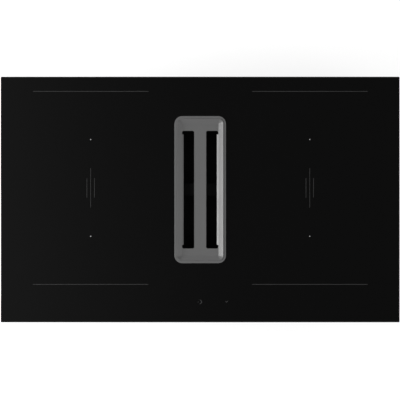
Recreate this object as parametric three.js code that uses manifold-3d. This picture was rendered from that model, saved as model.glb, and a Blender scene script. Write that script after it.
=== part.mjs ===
// Built-in induction cooktop with a downdraft extractor in the middle of the glass.
// Millimetres. X runs to the right, Y to the rear and Z up. Z = 0 is the top of the worktop on which
// the glass lies, and the origin is on that plane, under the middle of the glass.

import * as THREE from "three";
import { mergeVertices } from "three/addons/utils/BufferGeometryUtils.js";
import Module from "manifold-3d";

const wasm = await Module();
wasm.setup();

// ------------------------------------------------------------------ driving dimensions

const GAP = 0.3; // between pieces that are shaped to each other
const LOOSE = 1; // round a piece that is lifted or slid out by hand
const CORNER_STEPS = 3; // facets in a quarter round
const FINE_CORNER_STEPS = 5; // on the grille, which is seen from close by
const ROUND_STEPS = 24; // facets in a full turn of a large round piece
const SMALL_ROUND_STEPS = 16;
const BOSS_STEPS = 8; // on posts, eyelets and other little round things
const CORNER_LEAST = 0.5;
const HEXAGON = 6;
const MOUTH_STEPS = 3; // in the quarter round of the mouth over the blower
const LAP = 1; // how far joined shapes reach into each other, and a cutting tool past a face
const CUT = 60; // how far a cutting tool reaches past what it cuts

const glass = { width: 830, depth: 511, thick: 4, corner: 2, bevel: 0.8 };
const seal = { thick: 2.5, width: 9, inset: 2, corner: 6 };
const bond = { thick: 1, width: 4, fromTrayEdge: 1, fromShaftEdge: 4 };
const tray = { sideMargin: 29, endMargin: 19.5, sheet: 1.2, flange: 6, corner: 8, bend: 2.5 };

// The grille is a dish: a flat rim, a sloping band and a flat floor with two long slots.
const grille = {
  width: 107, length: 306, corner: 16, y: 20.5, proud: 3, rim: 5.5, groove: 0.6, slope: 10.5, dish: 5.5,
  wall: 3, fillet: 1, edge: 1.8, overlap: 4, skirt: 12, bar: 25, slotLength: 245, slotCorner: 3.5,
  lipReach: 3.6, lipDrop: 9, lipWall: 1.8, lipRelief: 7.5,
};

// The intake shaft is as wide as the glass opening down to the ledge that the filter hangs on.
const shaft = { wall: 2.5, flange: 16, ledgeZ: -16, ledge: 5, roofDrop: 13, widen: 15, below: 6 };
const filter = { sheet: 1.2, depth: 52, rim: 1.2, bend: 2, windowFoot: 10, windowHead: 8 };
const mesh = { thick: 2, overlap: 4, rows: 2, columns: 10, strand: 0.16 };
const grip = { width: 26, thick: 1.8, rise: 2.8, foot: 10, ramp: 7 };

// Each side has one long cooking zone over two coils.
const zone = { x: 228, y: 24.3, width: 240, length: 402, coilPitch: 201 };
const coil = { width: 226, length: 190, corner: 80, band: 66, bundles: 3, high: 6.5, edge: 1.6 };
const former = { thick: 4, margin: 2, bars: 8, barWidth: 14, barFrom: 28, barTo: 84 };
const sensor = { radius: 9, cap: 13, capHigh: 2.3, tip: 7 };
const carrier = { plate: 1.5, hole: 14, holeShare: 0.3 };
const insulation = { thick: 1, corner: 6 };
const board = { width: 210, length: 240, corner: 3, thick: 1.6, lift: 5, y: 90, edge: 7, post: 4 };
const capacitor = { radius: 11, high: 24, inset: 22, pitch: 40, count: 3, front: -70 };
const choke = { width: 28, length: 34, high: 20, inset: 12, pitch: 50, count: 2, front: -78 };
const relay = { width: 20, length: 16, high: 15, inset: 14, pitch: 30, count: 3, front: 30 };
const sink = { width: 62, length: 200, base: 5, high: 24, fins: 8, fin: 2, headroom: 7.4 };
const fan = {
  size: 80, corner: 6, high: 25, bore: 38, hub: 15, x: 322, y: -115, strut: 4, strutHigh: 3, screw: 2.2,
};
const fanBlade = {
  count: 7, thick: 1.6, chord: 18, tipChord: 24, pitchDeg: 38, tipPitchDeg: 24, running: 1.5,
};
const vent = { slot: 5.5, pitch: 10.5, exits: 7, exitLength: 34, exitMargin: 12 };
const panel = {
  frontMargin: 47.5, width: 300, depth: 36, corner: 6, board: 1.6, boardInset: 3, guide: 3.9, guideInset: 5,
  sheet: 1.5,
};
const keyWindow = { size: 16, pitch: 36, count: 7 };

const housing = { wall: 2.5, sump: 110, plenumHigh: 48, plenum: 36, flange: 6, ribs: 10, ribHigh: 4 };
const drain = { radius: 12, length: 3 };
const impeller = {
  radius: 90, chord: 15, sweep: 9, high: 60, blades: 30, blade: 1.4, disc: 2, cone: 14, ring: 3.5, boss: 5,
  running: 3.5,
};
const scroll = { y: -10, tongueDeg: 40, tongueGap: 7, growth: 70, high: 72, neck: 43, eyeStep: 4, lip: 8 };
const motor = {
  radius: 36, can: 1.8, high: 32, skirt: 2, shaft: 4, shaftEnd: 3, tube: 8, tubeWall: 1.6, airGap: 0.8,
  teeth: 9,
};
const motorBase = { radius: 45, thick: 3, ribs: 6, ribHigh: 4, fillet: 5, hole: 14 };
const bearing = { high: 5 };
const spigot = {
  width: 217, high: 84, wall: 2.5, length: 32, rearMargin: 17, outerX: 384, steps: 6, stop: 3,
};
const container = { depth: 43, wall: 1.8, length: 246, corner: 10, draft: 4, flange: 5, flangeThick: 2 };
const pull = { width: 48, reach: 14, thick: 3, lip: 9 };
const rail = { foot: 4, high: 8.5, length: 250 };
const terminal = { x: -300, y: 120, width: 110, depth: 66, high: 34, wall: 2.2, lid: 2, corner: 4 };
const knuckle = { radius: 2.4, long: 10, fromEnd: 16 };
const block = { high: 16, depth: 20, front: -12, sideMargin: 20, poles: 5, well: 4, floor: 5 };
const latch = { half: 9 };
const gland = {
  neck: 8, neckIn: 6, bore: 6, collar: 12, collarLong: 6, nut: 10.5, nutLong: 14, nose: 4, rim: 2,
};
const spring = { width: 32, strip: 1, bulge: 7, top: -9, drop: 32, y: 150 };

// ------------------------------------------------------------------ levels and rectangles that follow

const glassUnder = seal.thick;
const glassTop = glassUnder + glass.thick;
const rimUnder = glassTop + GAP;
const rimTop = rimUnder + grille.proud;
const dishFloor = rimTop - grille.dish;
const flangeTop = glassUnder - bond.thick;
const windingTop = glassUnder - insulation.thick;
const formerTop = windingTop - coil.high;
const carrierTop = formerTop - former.thick - GAP;
const sinkTop = carrierTop - carrier.plate - sink.headroom;
const boardTop = sinkTop - sink.high - GAP;
const boardUnder = boardTop - board.thick;
const trayFloor = boardUnder - board.lift;
const trayUnder = trayFloor - tray.sheet;
const filterUnder = shaft.ledgeZ - filter.depth;
const upperTop = trayUnder - GAP;
const shaftFoot = upperTop - shaft.below;
const coverTop = upperTop - housing.plenumHigh;
const coverUnder = coverTop - housing.wall;
const scrollTop = coverUnder - GAP;
const scrollUnder = scrollTop - scroll.high;
const scrollFloor = scrollUnder + housing.wall;
const sumpUnder = upperTop - housing.sump;
const sumpFloor = sumpUnder + housing.wall;

const trayBox = {
  width: glass.width - 2 * tray.sideMargin,
  length: glass.depth - 2 * tray.endMargin,
  corner: tray.corner,
};
const rim = { y: grille.y, width: grille.width, length: grille.length, corner: grille.corner };
const opening = inset(rim, grille.overlap);
const dish = inset(rim, grille.rim + grille.slope);
const sump = inset(opening, -shaft.widen);

// ------------------------------------------------------------------ finishes

const finish = (color, roughness, metalness = 0) =>
  new THREE.MeshStandardMaterial({ color, roughness, metalness });
const blackGlass = finish(0x0b0b0c, 0.08);
const greyCoat = finish(0x646464, 0.45, 0.3);
const zinc = finish(0xa6a9aa, 0.45, 0.9);
const stainless = finish(0xb4b4b0, 0.3, 1);
const blackCoat = finish(0x161617, 0.5, 0.3);
const aluminium = finish(0xb8babc, 0.4, 0.9);
const blackPlastic = finish(0x1b1b1c, 0.55);
const greyPlastic = finish(0x4a4c4e, 0.6);
const foam = finish(0x202020, 0.95);
const silicone = finish(0x2a2a2b, 0.7);
const copper = finish(0xb06a3c, 0.4, 0.8);
const mica = finish(0xcfc8b4, 0.8);
const circuitBoard = finish(0x1f5b36, 0.5);
const steel = finish(0x8c8f92, 0.35, 1);

// ------------------------------------------------------------------ shapes and solids

/** The same rectangle with every side moved in by a distance, or out by a negative one. */
function inset(rectangle, by) {
  const { width, length, corner } = rectangle;
  return {
    ...rectangle,
    width: width - 2 * by,
    length: length - 2 * by,
    corner: Math.max(corner - by, CORNER_LEAST),
  };
}

/** The points round a rectangle with rounded corners, at height z. */
function ring({ x = 0, y = 0, width, length, corner }, z, steps = CORNER_STEPS) {
  const points = [];
  const quarters = [[1, 1], [-1, 1], [-1, -1], [1, -1]];
  quarters.forEach(([sideX, sideY], quarter) => {
    for (let i = 0; i <= steps; i++) {
      const angle = ((quarter + i / steps) * Math.PI) / 2;
      const px = x + sideX * (width / 2 - corner) + corner * Math.cos(angle);
      const py = y + sideY * (length / 2 - corner) + corner * Math.sin(angle);
      points.push(new THREE.Vector3(px, py, z));
    }
  });
  return points;
}

/** A closed surface as a solid, with its faces turned outwards. */
function solidOf(geometry) {
  const loose = geometry.index ? geometry.toNonIndexed() : geometry;
  const bare = new THREE.BufferGeometry().setAttribute("position", loose.getAttribute("position"));
  const merged = mergeVertices(bare, 1e-4);
  const corners = merged.index.array;
  const kept = [];
  for (let i = 0; i < corners.length; i += 3) {
    const [a, b, c] = [corners[i], corners[i + 1], corners[i + 2]];
    if (a !== b && b !== c && c !== a) kept.push(a, b, c);
  }
  const make = (list) =>
    new wasm.Manifold(
      new wasm.Mesh({
        numProp: 3,
        vertProperties: merged.attributes.position.array,
        triVerts: new Uint32Array(list),
      }),
    );
  const made = make(kept);
  return made.volume() > 0 ? made : make(kept.reverse());
}

/** A surface through rings of equal length: capped at both ends, or joined end to start. */
function loft(rings, joined = false) {
  const count = rings[0].length;
  const faces = [];
  const spans = joined ? rings.length : rings.length - 1;
  for (let j = 0; j < spans; j++) {
    const here = j * count;
    const next = ((j + 1) % rings.length) * count;
    for (let i = 0; i < count; i++) {
      const k = (i + 1) % count;
      faces.push(here + i, here + k, next + k, here + i, next + k, next + i);
    }
  }
  const last = (rings.length - 1) * count;
  for (let i = 1; i < count - 1 && !joined; i++) {
    faces.push(0, i + 1, i, last, last + i, last + i + 1);
  }
  const geometry = new THREE.BufferGeometry().setFromPoints(rings.flat());
  geometry.setIndex(faces);
  return solidOf(geometry);
}

/** A loft whose rings are one rectangle, moved in by each profile point's first number, at its second. */
function shell(rectangle, profile, joined = false, steps = CORNER_STEPS) {
  return loft(profile.map(([by, z]) => ring(inset(rectangle, by), z, steps)), joined);
}

/** A plate or block between two heights, from an outline of points. */
function prism(outline, low, high) {
  const shape = new THREE.Shape(outline.map((p) => new THREE.Vector2(p.x, p.y)));
  const depth = high - low;
  return solidOf(new THREE.ExtrudeGeometry(shape, { depth, bevelEnabled: false }).translate(0, 0, low));
}

const slab = (rectangle, low, high, steps) => prism(ring(rectangle, 0, steps), low, high);

/** A box from its lowest to its highest corner. */
function box(low, high) {
  const size = high.map((v, i) => v - low[i]);
  const middle = high.map((v, i) => (v + low[i]) / 2);
  return solidOf(new THREE.BoxGeometry(...size).translate(...middle));
}

/** A box by the middle of its plan, its width and length, and its lowest and highest level. */
const upright = (x, y, width, length, low, high) =>
  box([x - width / 2, y - length / 2, low], [x + width / 2, y + length / 2, high]);

/** Copies of a solid set at equal angles round the Z axis. */
const around = (solid, count, firstDeg = 0) =>
  Array.from({ length: count }, (_, i) => solid.rotate([0, 0, firstDeg + (i * 360) / count]));

/** A round piece about Z from [radius, z] points, which start and end on the axis or close on themselves. */
function turned(profile, x = 0, y = 0, steps = ROUND_STEPS) {
  const points = profile.map(([r, z]) => new THREE.Vector2(r, z));
  return solidOf(new THREE.LatheGeometry(points, steps).rotateX(Math.PI / 2).translate(x, y, 0));
}

const drum = (radius, low, high, x = 0, y = 0, steps = ROUND_STEPS) =>
  turned([[0, low], [radius, low], [radius, high], [0, high]], x, y, steps);

const tube = (outer, inner, low, high, x = 0, y = 0, steps = ROUND_STEPS) =>
  turned([[inner, low], [outer, low], [outer, high], [inner, high], [inner, low]], x, y, steps);

/** A strip whose section, in X and Z, runs along Y between two places. */
function alongY(section, from, to) {
  const shape = new THREE.Shape(section.map(([x, z]) => new THREE.Vector2(x, z)));
  const extruded = new THREE.ExtrudeGeometry(shape, { depth: to - from, bevelEnabled: false });
  return solidOf(extruded.rotateX(Math.PI / 2).translate(0, to, 0));
}

/** A strip whose section, in Y and Z, runs along X between two places. */
function alongX(section, from, to) {
  const shape = new THREE.Shape(section.map(([y, z]) => new THREE.Vector2(y, z)));
  const extruded = new THREE.ExtrudeGeometry(shape, { depth: to - from, bevelEnabled: false });
  return solidOf(extruded.rotateX(Math.PI / 2).rotateZ(Math.PI / 2).translate(from, 0, 0));
}

const joinAll = (solids) => solids.reduce((whole, next) => whole.add(next));
const cutAll = (solid, tools) => tools.reduce((rest, tool) => rest.subtract(tool), solid);

/** A named mesh of a solid, at its place in the group that holds it. */
function piece(name, solid, material, x = 0, y = 0) {
  const { vertProperties, triVerts, numProp } = solid.getMesh();
  const points = [];
  for (let i = 0; i < vertProperties.length; i += numProp) points.push(...vertProperties.slice(i, i + 3));
  const indexed = new THREE.BufferGeometry();
  indexed.setAttribute("position", new THREE.Float32BufferAttribute(points, 3));
  indexed.setIndex([...triVerts]);
  const geometry = indexed.toNonIndexed();
  geometry.computeVertexNormals();
  const mesh = new THREE.Mesh(geometry, material);
  mesh.name = name;
  mesh.position.set(x, y, 0);
  return mesh;
}

function assembly(...children) {
  const group = new THREE.Group();
  group.add(...children);
  return group;
}

// ------------------------------------------------------------------ glass, seal and tray

function glassTopPiece() {
  const outline = { width: glass.width, length: glass.depth, corner: glass.corner };
  const profile = [
    [glass.bevel / 2, glassUnder],
    [0, glassUnder + glass.bevel / 2],
    [0, glassTop - glass.bevel],
    [glass.bevel, glassTop],
  ];
  return shell(outline, profile).subtract(slab(opening, glassUnder - CUT, glassTop + CUT));
}

function sealPiece() {
  const outline = { width: glass.width, length: glass.depth, corner: seal.corner };
  const [out, within] = [seal.inset, seal.inset + seal.width];
  return shell(outline, [[out, 0], [within, 0], [within, glassUnder], [out, glassUnder]], true, 2);
}

/** A bead that bonds a flange to the underside of the glass. */
function bondPiece(flangeEdge, from) {
  const to = from + bond.width;
  return shell(flangeEdge, [[from, flangeTop], [to, flangeTop], [to, glassUnder], [from, glassUnder]], true);
}

/** The slots under a cooling fan fill a circle as wide as the fan's bore. */
function fanSlots(x) {
  const slots = [];
  const reach = fan.bore - vent.slot / 2;
  const most = Math.floor(reach / vent.pitch);
  for (let i = -most; i <= most; i++) {
    const length = 2 * Math.sqrt(reach ** 2 - (i * vent.pitch) ** 2);
    slots.push(upright(x + i * vent.pitch, fan.y, vent.slot, length, trayUnder - CUT, trayFloor + LAP));
  }
  return slots;
}

/** A row of slots at the rear of the tray, where the cooling air leaves. */
function exitSlots(x) {
  const y = trayBox.length / 2 - vent.exitLength / 2 - vent.exitMargin;
  return Array.from({ length: vent.exits }, (_, i) => {
    const at = x + (i - (vent.exits - 1) / 2) * 2 * vent.pitch;
    return upright(at, y, vent.slot, vent.exitLength, trayUnder - CUT, trayFloor + LAP);
  });
}

function trayPiece() {
  const { sheet, flange, bend } = tray;
  const pan = shell(trayBox, [
    [sheet + bend, trayFloor],
    [sheet + bend * 0.3, trayFloor + bend * 0.3],
    [sheet, trayFloor + bend],
    [sheet, flangeTop],
    [-flange, flangeTop],
    [-flange, flangeTop - sheet],
    [0, flangeTop - sheet],
    [0, trayUnder + bend],
    [bend * 0.3, trayUnder + bend * 0.3],
    [bend, trayUnder],
  ]);
  const shaftHole = slab(inset(sump, -shaft.wall - LOOSE), trayUnder - CUT, trayFloor + LAP);
  return cutAll(pan, [
    shaftHole,
    ...[-1, 1].flatMap((side) => [...fanSlots(side * fan.x), ...exitSlots(side * zone.x)]),
  ]);
}

/** A bowed leaf on the tray's side wall that centres the cooktop in the cut-out of the worktop. */
function springPiece(side) {
  const foot = trayBox.width / 2 + GAP;
  const bow = (t) => foot + spring.bulge * Math.sin(Math.PI * t) ** 2;
  const steps = [0, 0.15, 0.3, 0.5, 0.7, 0.85, 1];
  const down = steps.map((t) => [side * bow(t), spring.top - spring.drop * t]);
  const up = steps.map((t) => [side * (bow(t) + spring.strip), spring.top - spring.drop * t]).reverse();
  return alongY([...down, ...up], -spring.width / 2, spring.width / 2);
}

// ------------------------------------------------------------------ grille, filter and intake shaft

/** The lip that carries on from the sloping band and turns down into a slot, on the right-hand side. */
function grilleLip() {
  const edge = dish.width / 2;
  const { lipReach, lipDrop, lipWall } = grille;
  const outer = [
    [edge + LAP, dishFloor],
    [edge, dishFloor],
    [edge - lipReach * 0.5, dishFloor - lipReach * 0.35],
    [edge - lipReach * 0.87, dishFloor - lipReach],
    [edge - lipReach, dishFloor - lipReach * 1.9],
    [edge - lipReach, dishFloor - lipDrop],
  ];
  const inner = [
    [edge - lipReach + lipWall, dishFloor - lipDrop],
    [edge - lipReach + lipWall, dishFloor - lipReach * 1.6],
    [edge - lipReach * 0.1, dishFloor - lipReach],
    [edge + LAP, dishFloor - grille.wall],
  ];
  const reach = grille.slotLength / 2 - grille.lipRelief;
  return alongY([...outer, ...inner], grille.y - reach, grille.y + reach);
}

function grillePiece() {
  const { rim: rimWidth, groove, slope, wall, edge, overlap, skirt, fillet } = grille;
  const skirtOut = overlap + LOOSE;
  const skirtIn = skirtOut + wall;
  const dishEdge = rimWidth + slope;
  const band = (t) => [rimWidth + groove + (slope - groove) * t, rimTop - grille.dish * t * (1.3 - 0.3 * t)];
  const body = shell(rim, [
    [dishEdge, dishFloor - wall],
    [skirtIn + fillet, rimUnder - wall],
    [skirtIn, rimUnder - wall - fillet],
    [skirtIn, rimUnder - skirt],
    [skirtOut, rimUnder - skirt],
    [skirtOut, rimUnder],
    [0, rimUnder],
    [0, rimTop - edge],
    [edge * 0.3, rimTop - edge * 0.3],
    [edge, rimTop],
    [rimWidth - groove, rimTop],
    [rimWidth, rimTop - groove],
    [rimWidth + groove, rimTop - groove * 0.5],
    ...[0.3, 0.6, 1].map(band),
  ], false, FINE_CORNER_STEPS);
  const slotWidth = (dish.width - grille.bar) / 2;
  const slots = [-1, 1].map((side) => {
    const x = side * (grille.bar + slotWidth) / 2;
    const slot = { x, y: grille.y, width: slotWidth, length: grille.slotLength, corner: grille.slotCorner };
    return slab(slot, dishFloor - CUT, dishFloor + CUT);
  });
  const lip = grilleLip();
  return joinAll([cutAll(body, slots), lip, lip.mirror([1, 0, 0])]);
}

function shaftPiece() {
  const { wall, flange, ledgeZ, ledge, roofDrop, widen } = shaft;
  return shell(opening, [
    [0, flangeTop],
    [0, ledgeZ],
    [ledge, ledgeZ],
    [ledge, ledgeZ - wall],
    [-widen, ledgeZ - wall - roofDrop],
    [-widen, shaftFoot],
    [-widen - wall, shaftFoot],
    [-widen - wall, ledgeZ - roofDrop],
    [-wall, ledgeZ],
    [-wall, flangeTop - wall],
    [-flange, flangeTop - wall],
    [-flange, flangeTop],
  ], true);
}

const basket = inset(opening, shaft.ledge + LOOSE);
const filterRim = inset(opening, LOOSE);
const windowLow = filterUnder + filter.windowFoot;
const windowHigh = shaft.ledgeZ - filter.windowHead;
const windowLength = basket.length - 2 * basket.corner - 2 * filter.windowFoot;

/** The basket of the grease filter hangs by its rim, and each long side has a window for a mesh panel. */
function filterFramePiece() {
  const { sheet, rim: rimHigh } = filter;
  const hang = shaft.ledgeZ + GAP;
  const out = (basket.width - filterRim.width) / 2;
  const body = shell(basket, [
    [sheet, filterUnder + sheet],
    [sheet, hang + rimHigh],
    [out, hang + rimHigh],
    [out, hang],
    [0, hang],
    [0, filterUnder + filter.bend],
    [filter.bend, filterUnder],
  ]);
  const half = basket.width / 2 + LAP;
  const reach = windowLength / 2;
  const windows = box([-half, grille.y - reach, windowLow], [half, grille.y + reach, windowHigh]);
  return body.subtract(windows);
}

/** A panel of expanded metal just inside one of the basket's windows: rows of diamonds, set off by half. */
function filterMeshPiece(side) {
  const middle = side * (basket.width / 2 - filter.sheet - GAP - mesh.thick / 2);
  const high = windowHigh - windowLow;
  const level = (windowLow + windowHigh) / 2;
  const sheet = upright(
    middle, grille.y, mesh.thick, windowLength + 2 * mesh.overlap,
    level - high / 2 - mesh.overlap, level + high / 2 + mesh.overlap,
  );
  const [pitchY, pitchZ] = [windowLength / mesh.columns, high / mesh.rows];
  const [halfY, halfZ] = [(pitchY / 2) * (1 - mesh.strand), (pitchZ / 2) * (1 - mesh.strand)];
  const diamonds = [];
  for (let row = 0; row < mesh.rows; row++) {
    const shifted = row % 2;
    for (let column = 0; column < mesh.columns - shifted; column++) {
      const y = grille.y - windowLength / 2 + (column + (shifted ? 1 : 0.5)) * pitchY;
      const z = windowLow + (row + 0.5) * pitchZ;
      const diamond = [[y - halfY, z], [y, z - halfZ], [y + halfY, z], [y, z + halfZ]];
      diamonds.push(alongX(diamond, middle - mesh.thick, middle + mesh.thick));
    }
  }
  return cutAll(sheet, diamonds);
}

/** A pinch grip across the middle of the basket, which is lifted out by it. */
function filterGripPiece() {
  const foot = shaft.ledgeZ + 2 * GAP + filter.rim;
  const half = filterRim.width / 2;
  const { thick, rise, foot: flat, ramp } = grip;
  const under = [[-half, foot], [flat - half, foot], [flat + ramp - half, foot + rise]];
  const right = under.map(([x, z]) => [-x, z]).reverse();
  const over = [...under, ...right].map(([x, z]) => [x, z + thick]).reverse();
  return alongY([...under, ...right, ...over], grille.y - grip.width / 2, grille.y + grip.width / 2);
}

// ------------------------------------------------------------------ induction units

const coilRing = { width: coil.width, length: coil.length, corner: coil.corner };

/** A flat coil of litz wire. Its turns lie in bundles, which show as ridges. */
function windingPiece() {
  const { band, bundles, edge } = coil;
  const pitch = band / bundles;
  const ridges = Array.from({ length: bundles }, (_, i) => [
    [(i + 0.3) * pitch, windingTop], [(i + 1) * pitch - (i < bundles - 1 ? edge / 2 : 0), windingTop - edge],
  ]);
  const profile = [[band, formerTop + GAP], [0, formerTop + GAP], [0, windingTop - edge], ...ridges.flat()];
  return shell(coilRing, profile, true, 2);
}

/** The plastic plate under a coil, with its ferrite bars set radially in the underside. */
function formerPiece() {
  const plateUnder = formerTop - former.thick / 2;
  const plate = slab(inset(coilRing, -former.margin), plateUnder, formerTop, 2);
  const half = former.barWidth / 2;
  const bar = box([former.barFrom, -half, formerTop - former.thick], [former.barTo, half, plateUnder + LAP]);
  const eye = drum(sensor.radius + GAP, formerTop - CUT, formerTop + CUT, 0, 0, BOSS_STEPS);
  return joinAll([plate, ...around(bar, former.bars, 180 / former.bars)]).subtract(eye);
}

/** The temperature feeler in the eye of a coil: a cap on a stem, pressed against the glass. */
function sensorPiece() {
  const { radius, cap, capHigh, tip } = sensor;
  const seat = formerTop + GAP;
  const profile = [
    [0, carrierTop + GAP], [radius, carrierTop + GAP], [radius, seat], [cap, seat], [cap, seat + capHigh],
    [tip, seat + capHigh], [tip, glassUnder], [0, glassUnder],
  ];
  return turned(profile, 0, 0, BOSS_STEPS);
}

/** A folded aluminium plate that carries both coils of one side and stands on the tray floor. */
function carrierPiece() {
  const [front, rear] = [-zone.length / 2, zone.length / 2];
  const foot = trayFloor + GAP;
  const { plate, hole, holeShare } = carrier;
  const section = [
    [front, foot], [front + plate, foot], [front + plate, carrierTop - plate],
    [rear - plate, carrierTop - plate], [rear - plate, foot], [rear, foot],
    [rear, carrierTop], [front, carrierTop],
  ];
  const bridge = alongX(section, -zone.width / 2, zone.width / 2);
  const holes = [-1, 1].flatMap((end) => [-1, 1].map((side) => {
    const [x, y] = [side * zone.width * holeShare, (end * zone.coilPitch) / 2];
    return drum(hole, carrierTop - plate - LAP, carrierTop + LAP, x, y, BOSS_STEPS);
  }));
  return cutAll(bridge, holes);
}

function insulationPiece() {
  const sheet = slab({ ...zone, x: 0, y: 0, corner: insulation.corner }, windingTop, glassUnder, 2);
  const holes = [-1, 1].map((end) => {
    const y = (end * zone.coilPitch) / 2;
    return drum(sensor.radius, windingTop - LAP, glassUnder + LAP, 0, y, BOSS_STEPS);
  });
  return cutAll(sheet, holes);
}

/** The power board with its tall parts. The heat sink stands between the capacitors and the chokes. */
function boardPiece() {
  const { width, length, corner, edge, post } = board;
  const plate = slab({ width, length, corner }, boardUnder, boardTop, 1);
  const posts = [-1, 1].flatMap((side) => [-1, 1].map((end) => {
    const [x, y] = [side * (width / 2 - edge), end * (length / 2 - edge)];
    return drum(post, trayFloor + GAP, boardUnder + LAP, x, y, BOSS_STEPS);
  }));
  const row = ({ count, front, pitch }, make) =>
    Array.from({ length: count }, (_, i) => make(front + i * pitch));
  const capacitors = row(capacitor, (y) => {
    const { radius, high, inset: fromEdge } = capacitor;
    return drum(radius, boardTop - LAP, boardTop + high, -width / 2 + fromEdge, y, BOSS_STEPS);
  });
  const blocks = [choke, relay].flatMap((part) => row(part, (y) => {
    const right = width / 2 - part.inset;
    return box([right - part.width, y, boardTop - LAP], [right, y + part.length, boardTop + part.high]);
  }));
  return joinAll([plate, ...posts, ...capacitors, ...blocks]);
}

/** An extruded sink whose fins run along the air stream. */
function sinkPiece() {
  const low = boardTop + GAP;
  const left = -sink.width / 2;
  const pitch = (sink.width - sink.fin) / (sink.fins - 1);
  const section = [[left, low], [left + sink.width, low]];
  for (let i = sink.fins - 1; i >= 0; i--) {
    const at = left + i * pitch;
    section.push([at + sink.fin, sinkTop], [at, sinkTop]);
    if (i) section.push([at, low + sink.base], [at - pitch + sink.fin, low + sink.base]);
  }
  return alongY(section, -sink.length / 2, sink.length / 2);
}

/** The square frame of an axial fan: a bore, a motor seat and four struts on the upper side. */
function fanFramePiece() {
  const { size, corner, bore, hub, strut: strutWidth, strutHigh, screw } = fan;
  const low = trayFloor + GAP;
  const high = low + fan.high;
  const frame = slab({ width: size, length: size, corner }, low, high, 2);
  const hole = drum(screw, low - LAP, high + LAP, 0, 0, HEXAGON);
  const fromMiddle = size / 2 - 2 * screw;
  const screwHoles = [-1, 1].flatMap((side) => [-1, 1].map((end) =>
    hole.translate([side * fromMiddle, end * fromMiddle, 0])));
  const strut = box([0, -strutWidth / 2, high - strutHigh], [bore + LAP, strutWidth / 2, high]);
  const seat = drum(hub + 2, high - strutHigh, high, 0, 0, SMALL_ROUND_STEPS);
  const bored = cutAll(frame, [drum(bore, low - LAP, high + LAP), ...screwHoles]);
  return joinAll([bored, seat, ...around(strut, 4, 45)]);
}

/** Twisted blades on a round hub, which hangs on the frame's motor seat. */
function fanRotorPiece() {
  const { count, thick, chord, tipChord, pitchDeg, tipPitchDeg, running } = fanBlade;
  const top = trayFloor + GAP + fan.high - fan.strutHigh - GAP;
  const low = trayFloor + GAP + 2 * running;
  const middle = (low + top) / 2;
  const hub = drum(fan.hub, low, top, 0, 0, SMALL_ROUND_STEPS);
  const [root, tip] = [fan.hub - 2, fan.bore - running];
  const blade = loft([0, 1].map((t) => {
    const radius = THREE.MathUtils.lerp(root, tip, t);
    const pitch = THREE.MathUtils.degToRad(THREE.MathUtils.lerp(pitchDeg, tipPitchDeg, t));
    const half = THREE.MathUtils.lerp(chord, tipChord, t) / 2;
    const along = new THREE.Vector2(Math.cos(pitch), Math.sin(pitch)).multiplyScalar(half);
    const across = new THREE.Vector2(-Math.sin(pitch), Math.cos(pitch)).multiplyScalar(thick / 2);
    return [[1, 1], [-1, 1], [-1, -1], [1, -1]].map(([a, b]) => {
      const sweep = a * along.x + b * across.x;
      const out = Math.sqrt(radius ** 2 - sweep ** 2);
      return new THREE.Vector3(out, sweep, middle + a * along.y + b * across.y);
    });
  }));
  return joinAll([hub, ...around(blade, count)]);
}

function inductionUnit(side, name) {
  const group = assembly(
    piece(`coil_carrier_${name}`, carrierPiece(), aluminium, 0, zone.y),
    piece(`insulation_sheet_${name}`, insulationPiece(), mica, 0, zone.y),
    piece(`inverter_board_${name}`, boardPiece(), circuitBoard, 0, board.y),
    piece(`heat_sink_${name}`, sinkPiece(), aluminium, 0, board.y),
    piece(`cooling_fan_frame_${name}`, fanFramePiece(), blackPlastic, side * (fan.x - zone.x), fan.y),
    piece(`cooling_fan_rotor_${name}`, fanRotorPiece(), greyPlastic, side * (fan.x - zone.x), fan.y),
  );
  for (const [end, place] of [[-1, "front"], [1, "rear"]]) {
    const y = zone.y + (end * zone.coilPitch) / 2;
    group.add(
      piece(`coil_former_${place}_${name}`, formerPiece(), greyPlastic, 0, y),
      piece(`coil_winding_${place}_${name}`, windingPiece(), copper, 0, y),
      piece(`temperature_sensor_${place}_${name}`, sensorPiece(), aluminium, 0, y),
    );
  }
  group.position.x = side * zone.x;
  return group;
}

// ------------------------------------------------------------------ touch control

function controlUnit() {
  const guideUnder = glassUnder - panel.guide;
  const boardLow = guideUnder - panel.board;
  const half = panel.depth / 2;
  const foot = trayFloor + GAP;
  const bracket = alongX([
    [-half, foot], [-half + panel.sheet, foot], [-half + panel.sheet, boardLow - panel.sheet],
    [half - panel.sheet, boardLow - panel.sheet], [half - panel.sheet, foot], [half, foot],
    [half, boardLow - GAP], [-half, boardLow - GAP],
  ], -panel.width / 2, panel.width / 2);
  const plan = { width: panel.width, length: panel.depth, corner: panel.corner };
  const card = slab(inset(plan, panel.boardInset), boardLow, guideUnder - GAP, 1);
  const guide = slab(inset(plan, panel.guideInset), guideUnder, glassUnder, 2);
  const windows = Array.from({ length: keyWindow.count }, (_, i) => {
    const x = (i - (keyWindow.count - 1) / 2) * keyWindow.pitch;
    const reach = keyWindow.size / 2;
    return box([x - reach, -reach, guideUnder - LAP], [x + reach, reach, glassUnder + LAP]);
  });
  const group = assembly(
    piece("control_bracket", bracket, greyPlastic),
    piece("touch_control_board", card, circuitBoard),
    piece("display_light_guide", cutAll(guide, windows), blackPlastic),
  );
  group.position.y = panel.frontMargin - glass.depth / 2;
  return group;
}

// ------------------------------------------------------------------ extractor

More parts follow.
